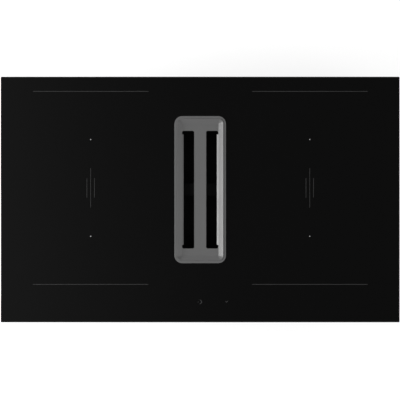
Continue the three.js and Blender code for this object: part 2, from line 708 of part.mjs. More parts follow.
const tongueRadius = impeller.radius + scroll.tongueGap;
const tongueAngle = THREE.MathUtils.degToRad(scroll.tongueDeg);
const eyeRadius = impeller.radius - impeller.chord - scroll.eyeStep;
const scrollRadius = (angle) =>
  tongueRadius + (scroll.growth * (angle - tongueAngle)) / (2 * Math.PI - tongueAngle);
const sharedWall = sump.width / 2 + housing.wall;
const blowerX = sharedWall - LAP + housing.wall + scrollRadius(Math.PI);
const exitX = blowerX + scrollRadius(2 * Math.PI);
const railOut = sump.width / 2 - housing.wall;
const railIn = railOut - housing.wall;
const tongueX = blowerX + tongueRadius * Math.cos(tongueAngle);
const exitY = scroll.y + tongueRadius * Math.sin(tongueAngle) + scroll.neck;

/** The spiral of the blower housing with its straight exit to the rear, moved out by a distance. */
function scrollOutline(out, rear = exitY) {
  const left = tongueX - out;
  const first = Math.acos((left - blowerX) / (tongueRadius + out));
  const steps = 24;
  const points = [new THREE.Vector2(left, rear)];
  for (let i = 0; i <= steps; i++) {
    const angle = first + ((2 * Math.PI - first) * i) / steps;
    const radius = scrollRadius(angle) + out;
    points.push(new THREE.Vector2(blowerX + radius * Math.cos(angle), scroll.y + radius * Math.sin(angle)));
  }
  points.push(new THREE.Vector2(exitX + out, rear));
  return points;
}

/** The plenum over the sump and the blower's eye, moved out by a distance. */
function plenum(out, low, high) {
  const radius = eyeRadius + housing.plenum + out;
  const [front, rear] = [scroll.y - radius, scroll.y + radius];
  return joinAll([
    slab(inset(sump, -out), low, high),
    box([0, front, low], [blowerX, rear, high]),
    drum(radius, low, high, blowerX, scroll.y),
  ]);
}

function upperHousingPiece() {
  const { wall, flange } = housing;
  const foot = coverTop + GAP;
  const outside = plenum(wall, foot, upperTop).add(plenum(wall + flange, foot, foot + wall));
  const inside = plenum(0, foot - LAP, upperTop - wall);
  const socket = slab(inset(sump, -2 * shaft.wall - GAP), shaftFoot - wall, upperTop);
  const throat = slab(sump, upperTop - CUT / 2, upperTop + LAP);
  const shaftSeat = slab(inset(sump, -shaft.wall - GAP), shaftFoot - GAP, upperTop + LAP);
  return cutAll(outside.subtract(inside).add(socket), [throat, shaftSeat]);
}

/** The lid of the scroll, with the rounded mouth that leads the air into the impeller. */
function scrollCoverPiece() {
  const { wall } = housing;
  const out = wall + housing.flange;
  const plate = prism(scrollOutline(out), coverUnder, coverTop).add(plenum(out, coverUnder, coverTop));
  const keep = box(
    [sharedWall + GAP, -glass.depth, coverUnder - LAP],
    [glass.width, glass.depth, coverTop + LAP],
  );
  const { lip } = scroll;
  const wide = eyeRadius + lip;
  const curve = (radius) => Array.from({ length: MOUTH_STEPS + 1 }, (_, i) => {
    const angle = ((i / MOUTH_STEPS) * Math.PI) / 2;
    return [wide - radius * Math.cos(angle), coverTop - lip + radius * Math.sin(angle)];
  });
  const profile = [...curve(lip - wall), ...curve(lip).reverse()];
  const mouth = turned([...profile, profile[0]], blowerX, scroll.y);
  const hole = drum(wide - LAP, coverUnder - LAP, coverTop + LAP, blowerX, scroll.y);
  return joinAll([plate.intersect(keep).subtract(hole), mouth]);
}

/** Stiffening ribs under the scroll floor, from the motor to the outer wall. */
function scrollRibs() {
  const rib = box(
    [motorBase.radius + LOOSE, -housing.wall / 2, scrollUnder - housing.ribHigh],
    [tongueRadius, housing.wall / 2, scrollUnder + LAP],
  );
  return around(rib, housing.ribs, 90).map((solid) => solid.translate([blowerX, scroll.y, 0]));
}

/** The lower moulding: the basin under the intake shaft, the scroll beside it and the container's rails. */
function lowerHousingPiece() {
  const { wall, flange } = housing;
  const out = wall + flange;
  const basin = slab(inset(sump, -wall), sumpUnder, coverTop);
  const basinFlange = slab(inset(sump, -out), coverTop - wall, coverTop)
    .subtract(box([sharedWall, -glass.depth, coverTop - CUT], [glass.width, glass.depth, coverTop + LAP]));
  const volute = prism(scrollOutline(wall), scrollUnder, scrollTop);
  const voluteFlange = prism(scrollOutline(out), scrollTop - wall, scrollTop);
  const exitFlange = box(
    [tongueX - out, exitY - wall, scrollUnder - flange],
    [exitX + out, exitY, scrollTop],
  );
  const basinInside = slab(sump, sumpFloor, coverTop + LAP);
  const voluteInside = prism(scrollOutline(0, exitY + LAP), scrollFloor, scrollTop + LAP);
  const round = (radius, low, high, x, y) => drum(radius, low, high, x, y, SMALL_ROUND_STEPS);
  const spout = round(drain.radius + wall, sumpUnder - drain.length, sumpFloor, 0, grille.y);
  const drainHole = round(drain.radius, sumpUnder - CUT, sumpFloor + LAP, 0, grille.y);
  const motorHole = round(motorBase.hole, scrollUnder - LAP, scrollFloor + LAP, blowerX, scroll.y);
  const footZ = sumpUnder - rail.high;
  const rails = [-1, 1].map((side) => {
    const section = [
      [railOut, sumpUnder + LAP], [railOut, footZ], [railIn - rail.foot, footZ],
      [railIn - rail.foot, footZ + wall], [railIn, footZ + wall], [railIn, sumpUnder + LAP],
    ].map(([x, z]) => [side * x, z]);
    return alongY(section, grille.y - rail.length / 2, grille.y + rail.length / 2);
  });
  const walls = [basin, basinFlange, volute, voluteFlange, exitFlange];
  const whole = joinAll([...walls, spout, ...rails, ...scrollRibs()]);
  return cutAll(whole, [basinInside, voluteInside, drainHole, motorHole]);
}

/** The duct that widens from the scroll's exit to a spigot for a flat duct of 222 x 89 mm. */
function outletPiece() {
  const { wall, width, high } = spigot;
  const out = wall + housing.flange;
  const middleZ = (scrollFloor + scrollTop) / 2;
  const throat = [tongueX, exitX, scrollFloor, scrollTop];
  const mouth = [
    spigot.outerX - width + wall, spigot.outerX - wall, middleZ - high / 2 + wall, middleZ + high / 2 - wall,
  ];
  const front = exitY + GAP;
  const rear = glass.depth / 2 - spigot.rearMargin;
  const bend = rear - spigot.length;
  const section = (by, t, y) => {
    const [left, right, low, top] = throat.map((from, i) => THREE.MathUtils.lerp(from, mouth[i], t));
    return [[left - by, low - by], [right + by, low - by], [right + by, top + by], [left - by, top + by]]
      .map(([x, z]) => new THREE.Vector3(x, y, z));
  };
  const widening = (by) => Array.from({ length: spigot.steps + 1 }, (_, i) => {
    const t = i / spigot.steps;
    return section(by, THREE.MathUtils.smoothstep(t, 0, 1), THREE.MathUtils.lerp(front, bend, t));
  });
  const outside = loft([...widening(wall), section(wall, 1, rear)]);
  const inside = loft([section(0, 0, front - LAP), ...widening(0), section(0, 1, rear + LAP)]);
  const flange = box(
    [tongueX - out, front, scrollUnder - housing.flange],
    [exitX + out, front + wall, coverTop],
  );
  const stopRib = loft([section(wall + spigot.stop, 1, bend - wall), section(wall + spigot.stop, 1, bend)]);
  return joinAll([outside, flange, stopRib]).subtract(inside);
}

const impellerTop = coverUnder - impeller.running;
const impellerUnder = impellerTop - impeller.high;
const canTop = impellerUnder + motor.high;
const bearingTop = canTop - motor.can - motor.skirt;

/** The plan of one blade, which runs outwards and then bends forward, into the turn. */
function bladeOutline() {
  const { radius, chord, sweep, blade } = impeller;
  const root = new THREE.Vector2(radius - chord, 0);
  const tip = new THREE.Vector2(Math.sqrt((radius - GAP) ** 2 - sweep ** 2), sweep);
  const curve = new THREE.QuadraticBezierCurve(root, new THREE.Vector2(tip.x, sweep / 4), tip);
  const face = (offset) => [0, 0.5, 1].map((t) => {
    const along = curve.getTangent(t);
    return curve.getPoint(t).add(new THREE.Vector2(-along.y, along.x).multiplyScalar(offset));
  });
  return [...face(-blade / 2), ...face(blade / 2).reverse()];
}

/** A forward-curved impeller: a disc with a hub over the motor, a crown of blades and a ring on top. */
function impellerPiece() {
  const { radius, chord, disc, cone, boss, ring: ringHigh, blades } = impeller;
  const seat = motor.radius + GAP;
  const discTop = impellerUnder + disc;
  const hubTop = canTop + GAP + disc;
  const hub = turned([
    [seat, impellerUnder], [radius, impellerUnder], [radius, discTop], [seat + cone, discTop],
    [seat + disc, discTop + cone], [seat + disc, hubTop - 2 * disc], [seat - disc, hubTop],
    [motor.shaft + boss, hubTop], [motor.shaft + boss, canTop + GAP], [seat, canTop + GAP],
    [seat, impellerUnder],
  ], 0, 0, blades);
  const crown = tube(radius, radius - chord / 2, impellerTop - ringHigh, impellerTop, 0, 0, blades);
  const blade = prism(bladeOutline(), discTop - disc / 2, impellerTop - ringHigh / 2);
  return joinAll([hub, crown, ...around(blade, blades)]);
}

/** The steel cup of the external-rotor motor. */
function rotorCanPiece() {
  const { radius, can, skirt, shaft: shaftRadius } = motor;
  const eye = shaftRadius + GAP;
  const foot = impellerUnder + skirt;
  return turned([
    [eye, canTop - can], [radius - can, canTop - can], [radius - can, foot],
    [radius, foot], [radius, canTop], [eye, canTop], [eye, canTop - can],
  ]);
}

/** The wound stator: teeth round a bored core. */
function statorPiece() {
  const outer = motor.radius - motor.can - motor.airGap;
  const { can, skirt, tube: bore, teeth } = motor;
  const [low, high] = [impellerUnder + 2 * skirt, canTop - can - skirt];
  const core = tube(outer, bore + GAP, low, high, 0, 0, 2 * teeth);
  const slot = box([outer / 2, -outer / 10, low - LAP], [outer + LAP, outer / 10, high + LAP]);
  return cutAll(core, around(slot, teeth));
}

/** The motor's ribbed flange, screwed under the scroll floor, with the tube that holds the bearings. */
function motorBasePiece() {
  const { radius, thick, ribs, ribHigh, fillet } = motorBase;
  const { tube: outer, tubeWall } = motor;
  const top = scrollUnder - GAP;
  const under = top - thick;
  const bore = outer - tubeWall;
  const body = turned([
    [bore, under], [radius, under], [radius, top], [outer + fillet, top], [outer, top + fillet],
    [outer, bearingTop], [bore, bearingTop], [bore, under],
  ], 0, 0, SMALL_ROUND_STEPS);
  const rib = box([bore + tubeWall, -thick / 2, under - ribHigh], [radius - thick, thick / 2, under + LAP]);
  return joinAll([body, ...around(rib, ribs)]);
}

/** A bearing between the motor's fixed tube and the shaft. */
function bearingPiece(low) {
  const [outer, inner] = [motor.tube - motor.tubeWall - GAP, motor.shaft + GAP];
  return tube(outer, inner, low, low + bearing.high, 0, 0, SMALL_ROUND_STEPS);
}

/** The open box under the drain, which catches spilt liquid and slides out to the front on two rails. */
function containerPiece() {
  const { wall, depth, length, corner, draft, flange, flangeThick } = container;
  const seatZ = sumpUnder - rail.high + housing.wall + GAP;
  const top = seatZ + flangeThick;
  const outer = { y: grille.y, width: 2 * (railIn - rail.foot - LOOSE), length, corner };
  const body = shell(outer, [
    [wall + draft, top - depth + wall],
    [wall, top - depth + wall + 1.5 * draft],
    [wall, top],
    [0, top],
    [0, top - depth + 1.5 * draft],
    [draft, top - depth],
  ]);
  const reach = Math.min(flange, rail.foot + LOOSE - GAP);
  const flanges = [-1, 1].map((side) =>
    upright(side * (outer.width + reach - LAP) / 2, grille.y, reach + LAP, length - 3 * corner, seatZ, top));
  const front = grille.y - length / 2;
  const { thick, lip } = pull;
  const pullSection = [
    [front + LAP, top], [front + LAP, top - thick], [front - pull.reach + thick, top - thick],
    [front - pull.reach + thick, top - lip], [front - pull.reach, top - lip], [front - pull.reach, top],
  ];
  return joinAll([body, ...flanges, alongX(pullSection, -pull.width / 2, pull.width / 2)]);
}

function extractor() {
  const { shaft: shaftRadius, shaftEnd } = motor;
  const shaftRod = drum(shaftRadius, scrollUnder - shaftEnd, canTop + shaftEnd, 0, 0, SMALL_ROUND_STEPS);
  const blower = assembly(
    piece("impeller", impellerPiece(), blackPlastic),
    piece("motor_rotor_can", rotorCanPiece(), steel),
    piece("motor_shaft", shaftRod, steel),
    piece("motor_stator", statorPiece(), copper),
    piece("motor_base", motorBasePiece(), aluminium),
    piece("bearing_upper", bearingPiece(bearingTop - bearing.high), steel),
    piece("bearing_lower", bearingPiece(scrollUnder), steel),
  );
  blower.position.set(blowerX, scroll.y, 0);
  return assembly(
    blower,
    piece("duct_housing_upper", upperHousingPiece(), blackPlastic),
    piece("duct_housing_lower", lowerHousingPiece(), blackPlastic),
    piece("scroll_cover", scrollCoverPiece(), greyPlastic),
    piece("outlet_duct", outletPiece(), blackPlastic),
    piece("overflow_container", containerPiece(), greyPlastic),
  );
}

// ------------------------------------------------------------------ mains connection

const terminalTop = trayUnder - GAP;
const terminalUnder = terminalTop - terminal.high;
const hingeY = -terminal.depth / 2 - knuckle.radius;
const hingeZ = terminalUnder - terminal.lid / 2;
const knuckleX = terminal.width / 2 - knuckle.fromEnd;
const terminalPlan = { width: terminal.width, length: terminal.depth, corner: terminal.corner };

/** A round bar along X on the axis of the lid's hinge. */
const hingeBar = (from, to) =>
  drum(knuckle.radius, from, to, 0, 0, BOSS_STEPS).rotate([0, 90, 0]).translate([0, hingeY, hingeZ]);

/** The connection box under the tray: open below, with a hole for the gland and knuckles for the lid. */
function terminalBoxPiece() {
  const { depth, wall, high } = terminal;
  const { radius, long } = knuckle;
  const body = shell(terminalPlan, [
    [wall, terminalTop - wall], [wall, terminalUnder], [0, terminalUnder], [0, terminalTop],
  ]);
  const glandHole = drum(gland.neck + GAP, -wall - LAP, LAP, 0, 0, SMALL_ROUND_STEPS)
    .rotate([-90, 0, 0]).translate([0, depth / 2, terminalUnder + high / 2]);
  const knuckles = [-1, 1].map((side) => {
    const x = side * knuckleX;
    const arm = box(
      [x - long / 2, hingeY - radius * 0.6, hingeZ + radius * 0.4],
      [x + long / 2, -depth / 2 + LAP, hingeZ + 2.5 * radius],
    );
    return hingeBar(x - long / 2, x + long / 2).add(arm);
  });
  return joinAll([body, ...knuckles]).subtract(glandHole);
}

/** The flap that closes the connection box. It turns on a barrel between the two knuckles. */
function terminalLidPiece() {
  const { depth, lid } = terminal;
  const { radius, long } = knuckle;
  const reach = knuckleX - long / 2 - GAP;
  const top = terminalUnder - GAP;
  const plate = slab(terminalPlan, top - lid, top, 3);
  const strap = box([-reach, hingeY, top - lid], [reach, -depth / 2 + LAP, top - lid * 0.3]);
  const tab = box([-latch.half, depth / 2 - LAP, top - lid], [latch.half, depth / 2 + radius, top]);
  const notches = [-1, 1].map((side) =>
    upright(side * knuckleX, hingeY + radius, long + 2 * LOOSE, 4 * radius, top - lid - LAP, top + LAP));
  return joinAll([cutAll(plate, notches), strap, hingeBar(-reach, reach), tab]);
}

/** A moulded block with a row of screw wells, one for each wire. */
function terminalBlockPiece() {
  const { high, depth, front, sideMargin, poles, well, floor } = block;
  const top = terminalTop - terminal.wall - GAP;
  const half = terminal.width / 2 - sideMargin;
  const body = box([-half, front, top - high], [half, front + depth, top]);
  const wells = Array.from({ length: poles }, (_, i) => {
    const x = half * ((2 * i + 1) / poles - 1);
    return drum(well, top - high - LAP, top - floor, x, front + depth / 2, BOSS_STEPS);
  });
  return cutAll(body, wells);
}

/** A screwed cable gland: neck, six-sided collar and a rounded cap, bored for the mains cable. */
function glandPiece() {
  const { neck, neckIn, bore, collar, collarLong, nut, nutLong, nose, rim: rimWide } = gland;
  const within = -terminal.wall - neckIn;
  const end = collarLong + nutLong;
  const parts = joinAll([
    drum(neck, within, LAP, 0, 0, SMALL_ROUND_STEPS),
    drum(collar, GAP, collarLong, 0, 0, HEXAGON),
    turned(
      [[0, LAP], [nut, LAP], [nut, end - nose], [bore + rimWide, end], [0, end]],
      0, 0, SMALL_ROUND_STEPS,
    ),
  ]);
  const hole = drum(bore, within - LAP, end + LAP, 0, 0, SMALL_ROUND_STEPS);
  return parts.subtract(hole).rotate([-90, 0, 0])
    .translate([0, terminal.depth / 2, terminalUnder + terminal.high / 2]);
}

function mainsConnection() {
  const group = assembly(
    piece("terminal_box", terminalBoxPiece(), blackPlastic),
    piece("terminal_lid", terminalLidPiece(), blackPlastic),
    piece("terminal_block", terminalBlockPiece(), mica),
    piece("cable_gland", glandPiece(), greyPlastic),
  );
  group.position.set(terminal.x, terminal.y, 0);
  return group;
}

// ------------------------------------------------------------------ the whole cooktop

const flangeEdge = inset(trayBox, -tray.flange);
const shaftFlangeEdge = inset(opening, -shaft.flange);

const cooktop = assembly(
  piece("glass_ceramic_top", glassTopPiece(), blackGlass),
  piece("worktop_seal", sealPiece(), foam),
  piece("glass_bond", bondPiece(flangeEdge, bond.fromTrayEdge), silicone),
  piece("shaft_bond", bondPiece(shaftFlangeEdge, bond.fromShaftEdge), silicone),
  piece("hob_tray", trayPiece(), zinc),
  piece("air_grille", grillePiece(), greyCoat),
  piece("intake_shaft", shaftPiece(), blackPlastic),
  piece("filter_frame", filterFramePiece(), blackCoat),
  piece("filter_mesh_left", filterMeshPiece(-1), stainless),
  piece("filter_mesh_right", filterMeshPiece(1), stainless),
  piece("filter_grip", filterGripPiece(), blackPlastic),
  inductionUnit(-1, "left"),
  inductionUnit(1, "right"),
  controlUnit(),
  extractor(),
  mainsConnection(),
);
for (const [side, name] of [[-1, "left"], [1, "right"]]) {
  for (const [end, place] of [[-1, "front"], [1, "rear"]]) {
    cooktop.add(piece(`centring_spring_${place}_${name}`, springPiece(side), steel, 0, end * spring.y));
  }
}

export default cooktop;
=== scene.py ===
"""Looks of a built-in induction cooktop with a downdraft extractor in the middle of its glass.

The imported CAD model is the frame. Sizes are in millimetres in the classes below and in metres in the
finished pieces. X runs to the right, Y to the rear and Z up; Z = 0 is the worktop's top surface.
"""

import logging
import math
from collections.abc import Iterable, Iterator, Sequence
from dataclasses import dataclass, replace
from enum import Enum
from functools import cache
from typing import Self

import bmesh
import bpy
from bmesh.types import BMEdge, BMesh, BMVert
from bpy.types import ID, Material, Mesh, Node, NodeSocket, NodeTree, Object, World
from mathutils import Matrix, Vector


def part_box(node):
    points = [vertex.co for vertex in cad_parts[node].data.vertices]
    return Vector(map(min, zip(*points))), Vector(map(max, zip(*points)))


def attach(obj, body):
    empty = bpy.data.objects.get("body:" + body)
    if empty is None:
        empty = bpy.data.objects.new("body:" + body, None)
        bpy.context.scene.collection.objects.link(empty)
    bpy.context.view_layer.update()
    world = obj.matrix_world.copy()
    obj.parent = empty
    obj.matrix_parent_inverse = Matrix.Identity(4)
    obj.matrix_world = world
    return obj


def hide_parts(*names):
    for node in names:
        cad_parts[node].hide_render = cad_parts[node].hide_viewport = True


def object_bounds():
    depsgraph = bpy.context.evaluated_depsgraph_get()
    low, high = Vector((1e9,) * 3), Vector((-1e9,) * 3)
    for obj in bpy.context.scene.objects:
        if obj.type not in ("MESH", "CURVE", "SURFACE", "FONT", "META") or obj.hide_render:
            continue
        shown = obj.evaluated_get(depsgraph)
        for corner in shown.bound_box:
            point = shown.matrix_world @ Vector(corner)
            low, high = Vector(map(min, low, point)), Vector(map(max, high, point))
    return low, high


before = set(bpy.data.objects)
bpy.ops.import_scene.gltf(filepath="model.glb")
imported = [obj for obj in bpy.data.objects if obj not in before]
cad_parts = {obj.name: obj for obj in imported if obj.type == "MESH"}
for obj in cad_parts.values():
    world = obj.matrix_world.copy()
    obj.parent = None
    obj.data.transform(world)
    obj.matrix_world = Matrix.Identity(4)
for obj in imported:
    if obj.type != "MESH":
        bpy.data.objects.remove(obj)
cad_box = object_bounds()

log = logging.getLogger("cooktop")

MM = 0.001
MERGE = 1e-4
CAD_MERGE = 1e-3
SHARP_DEG = 32.0
SOFTEN_DEG = 35.0
ONE_PLANE_DEG = 0.5
VOLUME_SLACK = 1e-3
LEAST_CORNER = 0.5
CHORD_LEVEL = 0.01
CHORD_REACH = 6.0
CHORD_TURN_DEG = (3.0, 31.0)
CHORD_CUTS = 3
SIDES = (-1, 1)
QUARTERS = [(across, along) for across in SIDES for along in SIDES]
Point2 = tuple[float, float]
Point3 = tuple[float, float, float]
Colour = tuple[float, float, float]
Drawn = tuple[NodeSocket, NodeSocket]


class Slot(Enum):
    """The record's material slots."""

    GLASS = "black_glass"
    GREY_COAT = "grey_coat"
    ZINC = "zinc_coated_steel"
    STAINLESS = "stainless_steel"
    STEEL = "steel"
    ALUMINIUM = "aluminium"
    BLACK_PLASTIC = "black_plastic"
    GREY_PLASTIC = "grey_plastic"
    FOAM = "foam"
    SILICONE = "silicone"
    COPPER = "copper_wire"
    INSULATOR = "white_insulator"
    BOARD = "circuit_board"
    BLACK_COAT = "black_coat"


class Body(Enum):
    """The CAD bodies that pieces ride on."""

    COOKTOP = "cooktop"
    GRILLE = "grille"
    FILTER = "filter"
    CONTAINER = "container"
    BLOWER_WHEEL = "blower_wheel"
    FAN_LEFT = "fan_wheel_left"
    FAN_RIGHT = "fan_wheel_right"
    LID = "connection_lid"


class Edge(Enum):
    """How far a piece's edges are rounded, in millimetres."""

    SHARP = 0.0
    WIRE = 0.2
    FINE = 0.3
    PLAIN = 0.4
    MOULDED = 0.5
    BROAD = 0.6


class Relief(Enum):
    """What a surface shows from close by."""

    GRAIN = "grain"
    BRUSHED = "brushed"
    SPANGLE = "spangle"
    CELLS = "cells"
    STRANDS = "strands"
    TRACES = "traces"


# ---------------------------------------------------------------------------------- materials


def linear(level: float) -> float:
    """The linear value of a display level from 0 to 255, by the sRGB curve."""
    share = level / 255.0
    return share / 12.92 if share <= 0.04045 else ((share + 0.055) / 1.055) ** 2.4


def grey(level: float) -> Colour:
    """A grey as linear red, green and blue, from its display level."""
    return (linear(level),) * 3


class Net:
    """Adds nodes and links to one node tree."""

    def __init__(self, tree: NodeTree) -> None:
        """Keeps the node tree to fill."""
        self.tree = tree

    @classmethod
    def of(cls, owner: Material | World) -> Self:
        """Empties the node tree of a material or a world.

        Args:
            owner: Whose tree it is.

        Returns:
            The empty tree.
        """
        owner.use_nodes = True
        owner.node_tree.nodes.clear()
        return cls(owner.node_tree)

    def feed(self, socket: NodeSocket, value: object) -> None:
        """Links an output to an input socket, or sets the input's own value.

        Args:
            socket: The input.
            value: An output socket, or the value.
        """
        if isinstance(value, NodeSocket):
            self.tree.links.new(value, socket)
        else:
            socket.default_value = value

    def add(self, kind: str, settings: dict | None = None, *values: object, **named: object) -> Node:
        """Adds a node.

        Args:
            kind: The node's type without the words that all shader nodes start with.
            settings: Properties of the node.
            values: Its first inputs in order, each a value or an output socket to link.
            named: Inputs by name, with _ for a space.

        Returns:
            The new node.
        """
        node = self.tree.nodes.new("ShaderNode" + kind)
        for key, value in (settings or {}).items():
            setattr(node, key, value)
        for socket, value in zip(node.inputs, values):
            self.feed(socket, value)
        for key, value in named.items():
            self.feed(node.inputs[key.replace("_", " ")], value)
        return node

    def math(self, operation: str, *values: object) -> NodeSocket:
        """The result of one sum on values or sockets."""
        return self.add("Math", {"operation": operation}, *values).outputs[0]


class SurfaceGroup:
    """A shared node group that draws one relief: a tint mask, a gloss mask and a height.

    Scales are in features a metre.
    """

    broad_share = 0.7
    stretch = (1.0, 0.02, 1.0)
    bend = (0.006, 0.006, 0.006)
    trace_runs = (("X", "GREATER_THAN", 0.55), ("Y", "LESS_THAN", 0.3))
    trace_level = 0.55

    def __init__(self, relief: Relief) -> None:
        """Builds the group.

        Args:
            relief: What it draws.
        """
        tree = bpy.data.node_groups.new("surface_" + relief.value, "ShaderNodeTree")
        tree.interface.new_socket("Vector", in_out="INPUT", socket_type="NodeSocketVector")
        tree.interface.new_socket("Scale", in_out="INPUT", socket_type="NodeSocketFloat")
        for name in ("Tint", "Gloss", "Height"):
            tree.interface.new_socket(name, in_out="OUTPUT", socket_type="NodeSocketFloat")
        self.tree, self.net = tree, Net(tree)
        self.vector, self.scale = tree.nodes.new("NodeGroupInput").outputs[:2]
        tint, height = getattr(self, "draw_" + relief.value)()
        broad = self.noise(scale=18.0, detail=4.0, roughness=0.6)
        gloss = self.net.math("MULTIPLY_ADD", broad, self.broad_share, tint)
        for socket, value in zip(tree.nodes.new("NodeGroupOutput").inputs, (tint, gloss, height)):
            self.net.feed(socket, value)

    @classmethod
    @cache
    def get(cls, relief: Relief) -> NodeTree:
        """The group of a relief, built the first time that it is asked for."""
        return cls(relief).tree

    def noise(
        self, scale: object, detail: float, roughness: float = 0.5, over: NodeSocket | None = None
    ) -> NodeSocket:
        """Adds a noise.

        Args:
            scale: Its scale, or the socket that gives it.
            detail: How many finer layers it has.
            roughness: How strong those are.
            over: The vector that it is drawn on, if not the surface's own.

        Returns:
            Its level.
        """
        vector = self.vector if over is None else over
        return self.net.add(
            "TexNoise", Vector=vector, Scale=scale, Detail=detail, Roughness=roughness
        ).outputs[0]

    def cells(self, scale: object, over: NodeSocket | None = None, **settings: str) -> Node:
        """Adds a pattern of cells.

        Args:
            scale: Its scale, or the socket that gives it.
            over: The vector that it is drawn on, if not the surface's own.
            settings: Properties of the node.

        Returns:
            The node, with the distance from each cell's middle and a random colour for each cell.
        """
        return self.net.add(
            "TexVoronoi", settings, Vector=self.vector if over is None else over, Scale=scale
        )

    def levels(self, cells: Node) -> Sequence[NodeSocket]:
        """Three random levels for each cell."""
        return self.net.add("SeparateColor", None, cells.outputs["Color"]).outputs

    def draw_grain(self) -> Drawn:
        """Draws fine pebbled grain of moulded plastic and powder coat.

        Returns:
            The tint and the height.
        """
        pebbles = self.cells(self.scale, feature="SMOOTH_F1").outputs["Distance"]
        height = self.net.math("ADD", pebbles, self.noise(self.scale, detail=3.0))
        return self.noise(scale=42.0, detail=6.0), height

    def draw_brushed(self) -> Drawn:
        """Draws fine lines along Y of rolled and brushed metal.

        Returns:
            The tint and the height.
        """
        long = self.net.add("VectorMath", {"operation": "MULTIPLY"}, self.vector, self.stretch).outputs[0]
        lines = self.noise(self.scale, detail=4.0, roughness=0.7, over=long)
        return self.noise(scale=160.0, detail=2.0, over=long), lines

    def draw_spangle(self) -> Drawn:
        """Draws crystals of a hot-dip zinc coat, with bent borders.

        Returns:
            The tint and the height.
        """
        waves = self.net.add("TexNoise", Vector=self.vector, Scale=120.0, Detail=2.0).outputs["Color"]
        bent = self.net.add("VectorMath", {"operation": "MULTIPLY_ADD"}, waves, self.bend, self.vector)
        tint, facet, _ = self.levels(self.cells(self.scale, bent.outputs[0]))
        return tint, self.net.math("MULTIPLY_ADD", facet, 0.5, self.noise(scale=900.0, detail=3.0))

    def draw_cells(self) -> Drawn:
        """Tint and height of the closed cells of foam, or of the flakes of pressed mica."""
        flakes = self.levels(self.cells(scale=240.0))[0]
        return flakes, self.cells(self.scale).outputs["Distance"]

    def draw_strands(self) -> Drawn:
        """Draws twisted strands of litz wire.

        Returns:
            The tint and the height.
        """
        twist = self.net.add(
            "TexWave", {"bands_direction": "DIAGONAL"},
            Vector=self.vector, Scale=self.scale, Distortion=3.0, Detail=2.0,
        )
        return self.noise(scale=90.0, detail=3.0), twist.outputs["Fac"]

    def draw_traces(self) -> Drawn:
        """Draws runs of parallel traces under solder mask, in patches between bare fills.

        Returns:
            The tint and the height.
        """
        patch = self.levels(self.cells(scale=70.0, distance="CHEBYCHEV"))[0]
        bands = []
        for axis, test, limit in self.trace_runs:
            wave = self.net.add("TexWave", {"bands_direction": axis}, Vector=self.vector, Scale=self.scale)
            bands.append(self.net.math("MULTIPLY", wave.outputs["Fac"], self.net.math(test, patch, limit)))
        level = self.net.math("GREATER_THAN", self.net.math("MAXIMUM", *bands), self.trace_level)
        return level, level


@dataclass(frozen=True)
class Finish:
    """A surface finish: its relief has a scale in features a metre and a height in millimetres."""

    name: str
    slot: Slot
    colour: Colour
    roughness: float
    relief: Relief
    scale: float
    height: float = 0.02
    metallic: float = 0.0
    tint: float = 0.12
    gloss: float = 0.08
    specular: float = 0.5
    coat: float = 0.0
    gloss_top: float = 1.2
    least_rough: float = 0.02

    def shade(self, by: float) -> tuple[float, ...]:
        """The colour made lighter by a share, or darker by a negative one."""
        return (*(part * (1 + by) for part in self.colour), 1.0)

    @cache
    def material(self) -> Material:
        """Makes the material: a Principled shader with masks and a bump from the relief's group.

        Returns:
            The material, the same one each time.
        """
        made = bpy.data.materials.new(self.name)
        net = Net.of(made)
        made.diffuse_color = self.shade(0.0)
        surface = net.add(
            "Group", {"node_tree": SurfaceGroup.get(self.relief)},
            Vector=net.add("TexCoord").outputs["Object"], Scale=self.scale,
        ).outputs
        colour = net.add("MixRGB", None, surface["Tint"], self.shade(-self.tint), self.shade(self.tint))
        rough = net.add(
            "MapRange", Value=surface["Gloss"], From_Max=self.gloss_top,
            To_Min=max(self.roughness - self.gloss, self.least_rough),
            To_Max=min(self.roughness + self.gloss, 1.0),
        )
        bump = net.add("Bump", Height=surface["Height"], Strength=1.0, Distance=self.height * MM)
        shader = net.add(
            "BsdfPrincipled", Base_Color=colour.outputs[0], Roughness=rough.outputs[0],
            Normal=bump.outputs[0], Metallic=self.metallic, Specular_IOR_Level=self.specular,
            Coat_Weight=self.coat,
        )
        net.add("OutputMaterial", Surface=shader.outputs[0])
        return made


GLASS_CERAMIC = Finish(
    "glass_ceramic", Slot.GLASS, grey(8), 0.06, Relief.GRAIN, 260.0, 0.0, tint=0.05, gloss=0.02
)
DOT_INK = Finish("pale_ceramic_ink", Slot.GLASS, grey(165), 0.4, Relief.GRAIN, 3000.0, 0.004)
LINE_INK = Finish("grey_ceramic_ink", Slot.GLASS, grey(58), 0.4, Relief.GRAIN, 3000.0, 0.004)
GRILLE_COAT = Finish(
    "grille_coat", Slot.GREY_COAT, grey(99), 0.33, Relief.GRAIN, 2600.0, tint=0.03, gloss=0.04, specular=0.36
)
ZINC_COAT = Finish(
    "zinc_spangle", Slot.ZINC, grey(172), 0.44, Relief.SPANGLE, 210.0, 0.005, metallic=1.0,
    tint=0.045, gloss=0.03,
)
BLACK_COAT = Finish(
    "matt_black_coat", Slot.BLACK_COAT, grey(16), 0.5, Relief.GRAIN, 2600.0, tint=0.04, specular=0.25
)
BRIGHT_STEEL = Finish(
    "bright_steel", Slot.STEEL, grey(158), 0.34, Relief.BRUSHED, 1800.0, 0.006, metallic=1.0
)
MILL_ALUMINIUM = Finish(
    "mill_aluminium", Slot.ALUMINIUM, grey(190), 0.4, Relief.BRUSHED, 1500.0, 0.01, metallic=1.0, tint=0.08
)
BLACK_MOULDING = Finish(
    "black_moulding", Slot.BLACK_PLASTIC, grey(33), 0.5, Relief.GRAIN, 1300.0, 0.05, tint=0.1
)
# A darker, less shiny copy of the black moulding for the parts seen down the grille's slots: painted shade
# of that deep recess.
SHADED_MOULDING = Finish(
    "black_moulding_painted_shade", Slot.BLACK_PLASTIC, grey(9), 0.6, Relief.GRAIN, 1300.0, 0.04, specular=0.15
)
